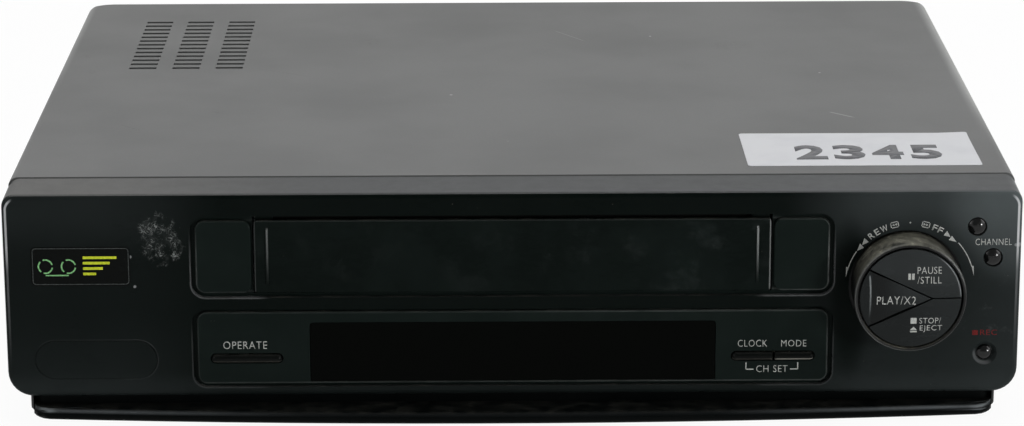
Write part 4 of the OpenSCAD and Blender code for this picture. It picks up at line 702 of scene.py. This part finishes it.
# Edit mode with the whole piece selected
def edit(piece):
    only(piece)
    bpy.ops.object.mode_set(mode="EDIT")
    bpy.ops.mesh.select_all(action="SELECT")


def done():
    bpy.ops.object.mode_set(mode="OBJECT")


def joined(pieces, name):
    free()
    for piece in pieces:
        piece.select_set(True)
    bpy.context.view_layer.objects.active = pieces[0]
    if len(pieces) > 1:
        bpy.ops.object.join()
    whole = bpy.context.object
    whole.name = name
    whole.data.name = name
    return whole


# Flat marks are drawn at this depth before they are laid on a surface
sheetDepth = -24
textLook = {"spacing": 1.1, "curveSteps": 3}


def flatText(words, left, right, low, high, weight=0.0):
    free()
    bpy.ops.object.text_add()
    text = bpy.context.object
    text.data.body = words
    text.data.size = 1.0
    text.data.offset = weight
    text.data.space_character = textLook["spacing"]
    text.data.resolution_u = textLook["curveSteps"]
    bpy.ops.object.convert(target="MESH")
    piece = bpy.context.object
    corners = [vertex.co for vertex in piece.data.vertices]
    lowX, highX = min(c.x for c in corners), max(c.x for c in corners)
    lowY, highY = min(c.y for c in corners), max(c.y for c in corners)
    scaleX = (right - left) / (highX - lowX)
    scaleZ = (high - low) / (highY - lowY)
    for vertex in piece.data.vertices:
        x, y = vertex.co.x - lowX, vertex.co.y - lowY
        vertex.co = at(left + x * scaleX, sheetDepth, low + y * scaleZ)
    return piece


# A closed flat outline in the sheet's plane
def flatShape(points):
    free()
    bpy.ops.mesh.primitive_circle_add(vertices=len(points), radius=1.0, fill_type="NGON")
    piece = bpy.context.object
    for vertex, (x, z) in zip(piece.data.vertices, points):
        vertex.co = at(x, sheetDepth, z)
    return piece


def flatBar(left, right, low, high):
    return flatShape([(left, low), (right, low), (right, high), (left, high)])


# A ribbon of the given width, spun about a centre from one edge of a plane
def flatArc(centre, radius, width, start, end, steps=16):
    free()
    bpy.ops.mesh.primitive_plane_add(size=1.0)
    piece = bpy.context.object
    bpy.ops.object.mode_set(mode="EDIT")
    mesh = bmesh.from_edit_mesh(piece.data)
    bmesh.ops.delete(mesh, geom=mesh.faces[:], context="FACES_ONLY")
    mesh.edges.ensure_lookup_table()
    keep = mesh.edges[0]
    bmesh.ops.delete(mesh, geom=[v for v in mesh.verts if v not in keep.verts], context="VERTS")
    x, z = centre
    turn = math.radians(start)
    for vertex, r in zip(keep.verts, (radius - width / 2, radius + width / 2)):
        vertex.co = at(x + r * math.cos(turn), sheetDepth, z + r * math.sin(turn))
    bmesh.update_edit_mesh(piece.data)
    bpy.ops.mesh.select_all(action="SELECT")
    bpy.ops.mesh.spin(steps=steps, angle=math.radians(end - start), center=at(x, sheetDepth, z),
                      axis=(0, 1, 0))
    done()
    return piece


# Turns a flat piece drawn about (0, 0) so that its up points away from the dial's axis
def roundDial(piece, angle, radius):
    centreX, centreZ = panelWords["ringCentre"]
    turn = math.radians(angle - 90)
    for vertex in piece.data.vertices:
        x, z = vertex.co.x / mm, vertex.co.z / mm + radius
        vertex.co = at(centreX + x * math.cos(turn) - z * math.sin(turn), sheetDepth,
                       centreZ + x * math.sin(turn) + z * math.cos(turn))
    return piece


# Every face that looks along wrong is turned round
def turnBack(piece, wrong):
    only(piece)
    bpy.ops.object.mode_set(mode="EDIT")
    mesh = bmesh.from_edit_mesh(piece.data)
    for face in mesh.faces:
        face.select = face.normal.dot(wrong) > 0
    bmesh.update_edit_mesh(piece.data)
    bpy.ops.mesh.flip_normals()
    done()


def thicken(piece, thickness):
    body = piece.modifiers.new("ink", "SOLIDIFY")
    body.thickness = thickness * mm
    body.offset = -1.0
    bpy.ops.object.modifier_apply(modifier="ink")


# Lays flat marks on a CAD node and gives them the thickness of ink
def printed(pieces, name, nodeName, material, body="case", thickness=0.03):
    whole = joined(pieces, name)
    settle(whole)
    edit(whole)
    bpy.ops.mesh.remove_doubles(threshold=sameSpot)
    bpy.ops.mesh.quads_convert_to_tris(quad_method="BEAUTY", ngon_method="BEAUTY")
    done()
    wrap = whole.modifiers.new("onto", "SHRINKWRAP")
    wrap.target = nodes[nodeName]
    wrap.wrap_method = "PROJECT"
    wrap.use_project_y = True
    wrap.use_positive_direction = True
    wrap.use_negative_direction = False
    wrap.wrap_mode = "ABOVE_SURFACE"
    wrap.offset = thickness * mm
    bpy.ops.object.modifier_apply(modifier="onto")
    # A vertex that found no surface takes the middle depth of the others
    stillFlat = frontY + (sheetDepth + 1) * mm
    levels = sorted(vertex.co.y for vertex in whole.data.vertices if vertex.co.y > stillFlat)
    for vertex in whole.data.vertices:
        if vertex.co.y <= stillFlat:
            vertex.co.y = levels[len(levels) // 2]
    turnBack(whole, (0, 1, 0))
    thicken(whole, thickness * 0.8)
    whole.data.materials.clear()
    whole.data.materials.append(material)
    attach(whole, body)


# Legends

panelWords = {
    "channel": ("CHANNEL", 172.6, 186.2, 68.85, 71.35),
    "record": ("REC", 175.5, 181.8, 33.6, 35.75), "recordSquare": (172.5, 174.6, 33.65, 35.55),
    "dot": (148.1, 77.7, 0.32),
    "letters": [("R", 127.0, 1.9), ("E", 120.9, 1.75), ("W", 113.9, 2.75), ("F", 67.3, 1.8),
                ("F", 61.8, 1.8)],
    "letterHeight": 2.45, "letterRadius": 24.0, "ringCentre": (148.1, 53.5), "lineWidth": 0.32,
    "iconSize": (3.1, 2.4), "iconCorner": 0.35, "iconTurns": (104.0, 76.0), "iconRadius": 22.9,
    "arcs": [(146.4, 166.5, 23.75), (16.5, 41.9, 24.4)],
    "wedges": [[(124.55, 60.6), (125.3, 60.5), (124.55, 56.5)],
               [(171.4, 60.8), (172.2, 60.75), (172.4, 56.8)]],
    "arrows": [[(131.1, 71.8), (132.8, 70.3), (130.3, 69.05)],
               [(129.55, 69.7), (131.05, 68.05), (128.5, 66.85)],
               [(161.9, 74.45), (160.65, 72.7), (163.2, 72.05)],
               [(163.75, 72.55), (162.65, 70.9), (165.5, 70.1)]],
}


# A rounded box with two small arrows inside, for fast picture search
def searchIcon(angle):
    look = panelWords
    width, high = look["iconSize"]
    half, line, corner = width / 2, look["lineWidth"], look["iconCorner"]
    bars = [flatBar(corner - half, half - corner, 0, line),
            flatBar(corner - half, half - corner, high - line, high),
            flatBar(-half, line - half, corner, high - corner),
            flatBar(half - line, half, corner, high - corner)]
    side = -1 if angle > 90 else 1
    for shift in (-0.5, 0.5):
        tip, back = (shift + 0.5) * side, (shift - 0.4) * side
        bars.append(flatShape([(back, 0.7), (back, 1.7), (tip, 1.2)]))
    return [roundDial(bar, angle, look["iconRadius"]) for bar in bars]


def panelLegends(grey, red):
    look = panelWords
    pieces = [flatText(*look["channel"], weight=-0.008)]
    half = look["letterHeight"] / 2
    for letter, angle, width in look["letters"]:
        text = flatText(letter, -width / 2, width / 2, -half, half, weight=0.01)
        pieces.append(roundDial(text, angle, look["letterRadius"]))
    for start, end, radius in look["arcs"]:
        pieces.append(flatArc(look["ringCentre"], radius, look["lineWidth"], start, end))
    for corners in look["wedges"] + look["arrows"]:
        pieces.append(flatShape(corners))
    for angle in look["iconTurns"]:
        pieces.extend(searchIcon(angle))
    x, z, r = look["dot"]
    turns = [math.radians(30 * i) for i in range(12)]
    pieces.append(flatShape([(x + r * math.cos(a), z + r * math.sin(a)) for a in turns]))
    printed(pieces, "panelLegends", "front_panel", grey)
    record = [flatBar(*look["recordSquare"]), flatText(*look["record"])]
    printed(record, "recordLegend", "front_panel", red)


insetWords = {
    "words": [("OPERATE", -108.7, -92.3, 29.5, 32.5), ("CLOCK", 84.5, 95.6, 29.4, 32.1),
              ("MODE", 100.8, 110.3, 29.4, 32.0), ("CH SET", 91.6, 103.4, 19.3, 22.0)],
    "brackets": [(87.5, 87.9, 20.3, 23.15), (87.5, 90.6, 20.3, 20.7),
                 (107.0, 107.4, 20.3, 23.15), (104.3, 107.4, 20.3, 20.7)],
}


def insetLegends(grey):
    pieces = [flatText(*words, weight=-0.006) for words in insetWords["words"]]
    pieces += [flatBar(*bracket) for bracket in insetWords["brackets"]]
    printed(pieces, "insetLegends", "control_panel", grey)


dialWords = {
    "play": {"words": [("PLAY/X2", 134.5, 149.0, 50.9, 54.05)], "bars": [], "signs": []},
    "pause": {"words": [("PAUSE", 149.25, 158.25, 62.8, 65.5),
                        ("/STILL", 149.3, 158.25, 59.1, 61.75)],
              "bars": [(145.9, 146.85, 60.65, 63.0), (147.25, 148.2, 60.65, 63.0)], "signs": []},
    "stop": {"words": [("STOP/", 150.4, 158.45, 43.6, 45.85), ("EJECT", 150.65, 159.0, 40.2, 42.9)],
             "bars": [(147.15, 149.4, 43.6, 45.88), (147.1, 149.6, 40.2, 40.8)],
             "signs": [[(147.1, 41.15), (149.6, 41.15), (148.35, 42.4)]]},
}


def dialLegends(grey):
    for key, look in dialWords.items():
        pieces = [flatText(*words, weight=-0.004) for words in look["words"]]
        pieces += [flatBar(*bar) for bar in look["bars"]]
        pieces += [flatShape(corners) for corners in look["signs"]]
        printed(pieces, key + "Legend", key + "_button", grey, key + "_button")


# The plain sticker and the stuck-on paper tag

stickerLook = {
    "field": (-179.6, -142.6, 54.7, 69.9, 1.6), "inner": (-179.1, -143.1, 55.2, 69.4, 1.3),
    "line": 0.3, "thickness": 0.12, "above": 0.16,
    "reels": [(-174.2, 62.3), (-165.6, 62.3)], "reelRadius": 2.6, "reelLine": 0.55,
    "arcStarts": (15, 135, 255), "arcSweep": 96, "tape": (-174.2, -165.6, 58.6, 59.1),
    "bars": [(-160.2, -147.6, 65.2, 66.2), (-160.2, -150.2, 63.1, 64.1),
             (-160.2, -152.8, 61.0, 62.0), (-160.2, -155.4, 58.9, 59.9)],
}


def roundedPoints(left, right, low, high, corner, steps=5):
    points = []
    for x, z, start in ((right - corner, high - corner, 0), (left + corner, high - corner, 90),
                        (left + corner, low + corner, 180), (right - corner, low + corner, 270)):
        for i in range(steps + 1):
            turn = math.radians(start + 90 * i / steps)
            points.append((x + corner * math.cos(turn), z + corner * math.sin(turn)))
    return points


# The outline of a rounded field, as a ribbon made by an inset
def outlined(field, line):
    piece = flatShape(roundedPoints(*field))
    edit(piece)
    bpy.ops.mesh.inset(thickness=line * mm)
    bpy.ops.mesh.delete(type="FACE")
    done()
    return piece


def sticker(film, outline, lime, mint):
    look = stickerLook
    field = [flatShape(roundedPoints(*look["field"]))]
    printed(field, "stickerFilm", "front_panel", film, thickness=look["thickness"])
    border = [outlined(look["inner"], look["line"])]
    printed(border, "stickerOutline", "front_panel", outline, thickness=look["above"])
    # Two reels and a few level bars, a plain sign for tape
    reels = [flatArc(centre, look["reelRadius"], look["reelLine"], start,
                     start + look["arcSweep"], 8)
             for centre in look["reels"] for start in look["arcStarts"]]
    reels.append(flatBar(*look["tape"]))
    printed(reels, "stickerReels", "front_panel", mint, thickness=look["above"])
    bars = [flatBar(*bar) for bar in look["bars"]]
    printed(bars, "stickerMarks", "front_panel", lime, thickness=look["above"])


# The ends of the plinth's nose curve back and up
endLook = {"from": 174.5, "to": 182.25, "back": 9.0, "middle": 6.0, "sharp": 0.86, "rise": 0.7,
           "cuts": (0.0, 0.3, 0.52, 0.7, 0.83, 0.92, 0.975)}


def roundedPlinth():
    look = endLook
    node = nodes["plinth"]
    piece = node.copy()
    piece.data = node.data.copy()
    piece.name = "roundedPlinth"
    bpy.context.scene.collection.objects.link(piece)
    edit(piece)
    bpy.ops.mesh.remove_doubles(threshold=sameSpot)
    length = look["to"] - look["from"]
    for side in (-1, 1):
        for cut in look["cuts"]:
            bpy.ops.mesh.select_all(action="SELECT")
            bpy.ops.mesh.bisect(plane_co=(side * (look["from"] + cut * length) * mm, 0, 0),
                                plane_no=(1, 0, 0))
    done()
    for vertex in piece.data.vertices:
        part = (abs(vertex.co.x) / mm - look["from"]) / length
        behind = (vertex.co.y - frontY) / mm - look["back"]
        if part > 0 and behind < 0:
            shrink = math.sqrt(max(0.0, 1 - look["sharp"] * min(part, 1.0) ** 2))
            vertex.co.y = frontY + (look["back"] + behind * shrink) * mm
            below = vertex.co.z / mm - look["middle"]
            if below < 0:
                lifted = shrink * look["rise"] + 1 - look["rise"]
                vertex.co.z = (look["middle"] + below * lifted) * mm
    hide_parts("plinth")
    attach(piece, "case")


# A dark strip on the ledge at the top of the door's back, which keeps the gap above the door in
# shade
shadeFeltLook = {"reach": 94.0, "near": 5.5, "far": 6.5, "low": 78.85, "high": 79.85, "round": 0.2}


def doorShadeFelt(material):
    look = shadeFeltLook
    free()
    bpy.ops.mesh.primitive_cube_add(size=1.0)
    felt = bpy.context.object
    felt.name = "doorShadeFelt"
    for vertex in felt.data.vertices:
        x, y, z = vertex.co
        vertex.co = at(math.copysign(look["reach"], x), look["far"] if y > 0 else look["near"],
                       look["high"] if z > 0 else look["low"])
    edit(felt)
    bpy.ops.mesh.bevel(offset=look["round"] * mm, segments=2, affect="EDGES")
    done()
    settle(felt)
    felt.data.materials.append(material)
    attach(felt, "door")


tagLook = {
    "corners": [(89.8, 32.2), (178.9, 32.0), (178.6, 79.8), (89.3, 80.2)], "round": 1.4, "cuts": 7,
    "gap": 0.01, "thickness": 0.14, "liftFrom": (168, 68), "liftSpan": (11, 12), "lift": 0.5,
    "digits": "2345", "digitsAt": (109.0, 165.4, 40.8, 61.8), "digitGap": 2.6, "digitWeight": 0.045,
    "inkGap": 0.03, "ink": 0.025,
}


def paperTag(paper, ink):
    look = tagLook
    top = coverTop + look["gap"]
    free()
    bpy.ops.mesh.primitive_plane_add(size=1.0)
    tag = bpy.context.object
    for index, (x, y) in zip((0, 1, 3, 2), look["corners"]):  # round the plane, not row by row
        tag.data.vertices[index].co = at(x, y, top)
    edit(tag)
    bpy.ops.mesh.subdivide(number_cuts=look["cuts"])
    mesh = bmesh.from_edit_mesh(tag.data)
    for vertex in mesh.verts:
        vertex.select = len(vertex.link_edges) == 2
    mesh.select_mode = {"VERT"}
    mesh.select_flush_mode()
    bmesh.update_edit_mesh(tag.data)
    bpy.ops.mesh.bevel(offset=look["round"] * mm, segments=3, affect="VERTICES")
    bpy.ops.mesh.select_all(action="SELECT")
    up = (0, 0, look["thickness"] * mm)
    bpy.ops.mesh.extrude_region_move(TRANSFORM_OT_translate={"value": up})
    bpy.ops.mesh.select_all(action="SELECT")
    bpy.ops.mesh.normals_make_consistent(inside=False)
    done()
    # One corner has begun to lift
    (fromX, fromY), (spanX, spanY) = look["liftFrom"], look["liftSpan"]
    for vertex in tag.data.vertices:
        x, y = vertex.co.x / mm - fromX, (vertex.co.y - frontY) / mm - fromY
        lift = max(0.0, x / spanX) * max(0.0, y / spanY)
        vertex.co.z += look["lift"] * mm * lift ** 2
    tag.name = "paperTag"
    settle(tag)
    tag.data.materials.append(paper)
    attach(tag, "case")
    left, right, near, far = look["digitsAt"]
    step = (right - left + look["digitGap"]) / len(look["digits"])
    texts = [flatText(digit, left + step * i, left + step * (i + 1) - look["digitGap"], 0,
                      far - near, look["digitWeight"]) for i, digit in enumerate(look["digits"])]
    digits = joined(texts, "tagDigits")
    for vertex in digits.data.vertices:
        vertex.co = at(vertex.co.x / mm, near + vertex.co.z / mm,
                       top + look["thickness"] + look["inkGap"])
    settle(digits)
    turnBack(digits, (0, 0, -1))
    thicken(digits, look["ink"])
    digits.data.materials.append(ink)
    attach(digits, "case")


# Stage

# Sizes in metres, far enough out for every view
stageLook = {"floor": srgb(236, 236, 236), "size": 20.0, "away": 8.0, "glow": 0.95, "world": 0.3}


# The camera, mirrors and glass see it pale, and it keeps the object's shadow
def stageMaterial(name, color, glow):
    sheet = Surface(name)
    direct, mirrored, through = (sheet.add("ShaderNodeLightPath", out="Is " + ray + " Ray")
                                 for ray in ("Camera", "Glossy", "Transmission"))
    seen = direct.maths("MAXIMUM", mirrored).maths("MAXIMUM", through)
    plain = sheet.add("ShaderNodeBsdfDiffuse", {}, {"Color": color})
    bright = sheet.add("ShaderNodeEmission", {}, {"Strength": 1.0})
    mixed = sheet.add("ShaderNodeMixShader", {}, {0: seen * glow, 1: plain, 2: bright})
    sheet.add("ShaderNodeOutputMaterial", {}, {"Surface": mixed})
    return sheet.material


def stage():
    look = stageLook
    free()
    upright, away = math.radians(90), look["away"]
    planes = {"floor": ((0, 0, 0), (0, 0, 0), look["glow"]),
              "backdrop": ((0, away, 0), (upright, 0, 0), 1.0),
              "sideCardLeft": ((-away, 0, 0), (0, upright, 0), 1.0),
              "sideCardRight": ((away, 0, 0), (0, upright, 0), 1.0)}
    for name, (place, turn, glow) in planes.items():
        bpy.ops.mesh.primitive_plane_add(size=look["size"], location=place, rotation=turn)
        plane = bpy.context.object
        plane.name = name
        plane.data.materials.append(stageMaterial(name + "Pale", look["floor"], glow))
    world = bpy.data.worlds.new("studio")
    bpy.context.scene.world = world
    world.use_nodes = True
    sky = world.node_tree.nodes["Background"]
    sky.inputs["Color"].default_value = (1, 1, 1, 1)
    sky.inputs["Strength"].default_value = look["world"]


# Places and sizes in metres, power in watts
lamps = {
    "overhead": {"place": (0.1, 0.35, 1.9), "aim": (0, 0.05, 0.05), "size": (2.4, 1.6),
                 "power": 27},
    "left": {"place": (-1.7, -1.0, 0.9), "aim": (0, -0.1, 0.05), "size": (0.8, 1.2), "power": 7},
    "right": {"place": (1.8, -0.9, 1.1), "aim": (0, -0.1, 0.05), "size": (0.9, 1.4), "power": 10},
    "window": {"place": (1.1, -1.27, 0.24), "aim": (0.15, -0.15, 0.05), "size": (0.18, 0.2),
               "power": 9},
}


def lights():
    for name, look in lamps.items():
        data = bpy.data.lights.new(name, "AREA")
        data.shape = "RECTANGLE"
        data.size, data.size_y = look["size"]
        data.energy = look["power"]
        lamp = bpy.data.objects.new(name, data)
        bpy.context.scene.collection.objects.link(lamp)
        lamp.location = look["place"]
        ahead = Vector(look["aim"]) - Vector(look["place"])
        lamp.rotation_euler = ahead.to_track_quat("-Z", "Y").to_euler()


shot = {"place": (-8.366, -1292.19, 453.42), "pitch": 16.028, "yaw": 0.3635, "roll": -0.1829,
        "lens": 127.2, "sensor": 36.0, "clip": (0.05, 30.0)}


def camera():
    data = bpy.data.cameras.new("shot")
    data.sensor_fit = "HORIZONTAL"
    data.sensor_width = shot["sensor"]
    data.lens = shot["lens"]
    data.clip_start, data.clip_end = shot["clip"]
    cam = bpy.data.objects.new("shot", data)
    bpy.context.scene.collection.objects.link(cam)
    yaw, pitch, roll = (math.radians(shot[key]) for key in ("yaw", "pitch", "roll"))
    turn = (Matrix.Rotation(-yaw, 4, "Z") @ Matrix.Rotation(math.radians(90) - pitch, 4, "X")
            @ Matrix.Rotation(roll, 4, "Z"))
    cam.matrix_world = Matrix.Translation(at(*shot["place"])) @ turn
    bpy.context.scene.camera = cam


camera()
print("camera set")
lights()
stage()
print("stage and lights set")
dressNodes()
print("finishes given")
grey = printFinish("legendGrey").material
panelLegends(grey, printFinish("legendRed").material)
insetLegends(grey)
dialLegends(grey)
print("legends printed")
roundedPlinth()
print("plinth ends rounded")
doorShadeFelt(plainFinish("shadeFelt").material)
print("door felt glued on")
sticker(stickerFinish().material, printFinish("outlineGrey").material,
        printFinish("legendLime").material, printFinish("legendMint").material)
paperTag(plainFinish("tagPaper").material, printFinish("inkGrey").material)
print("sticker and tag stuck on")

bpy.context.scene.view_settings.view_transform = "Standard"
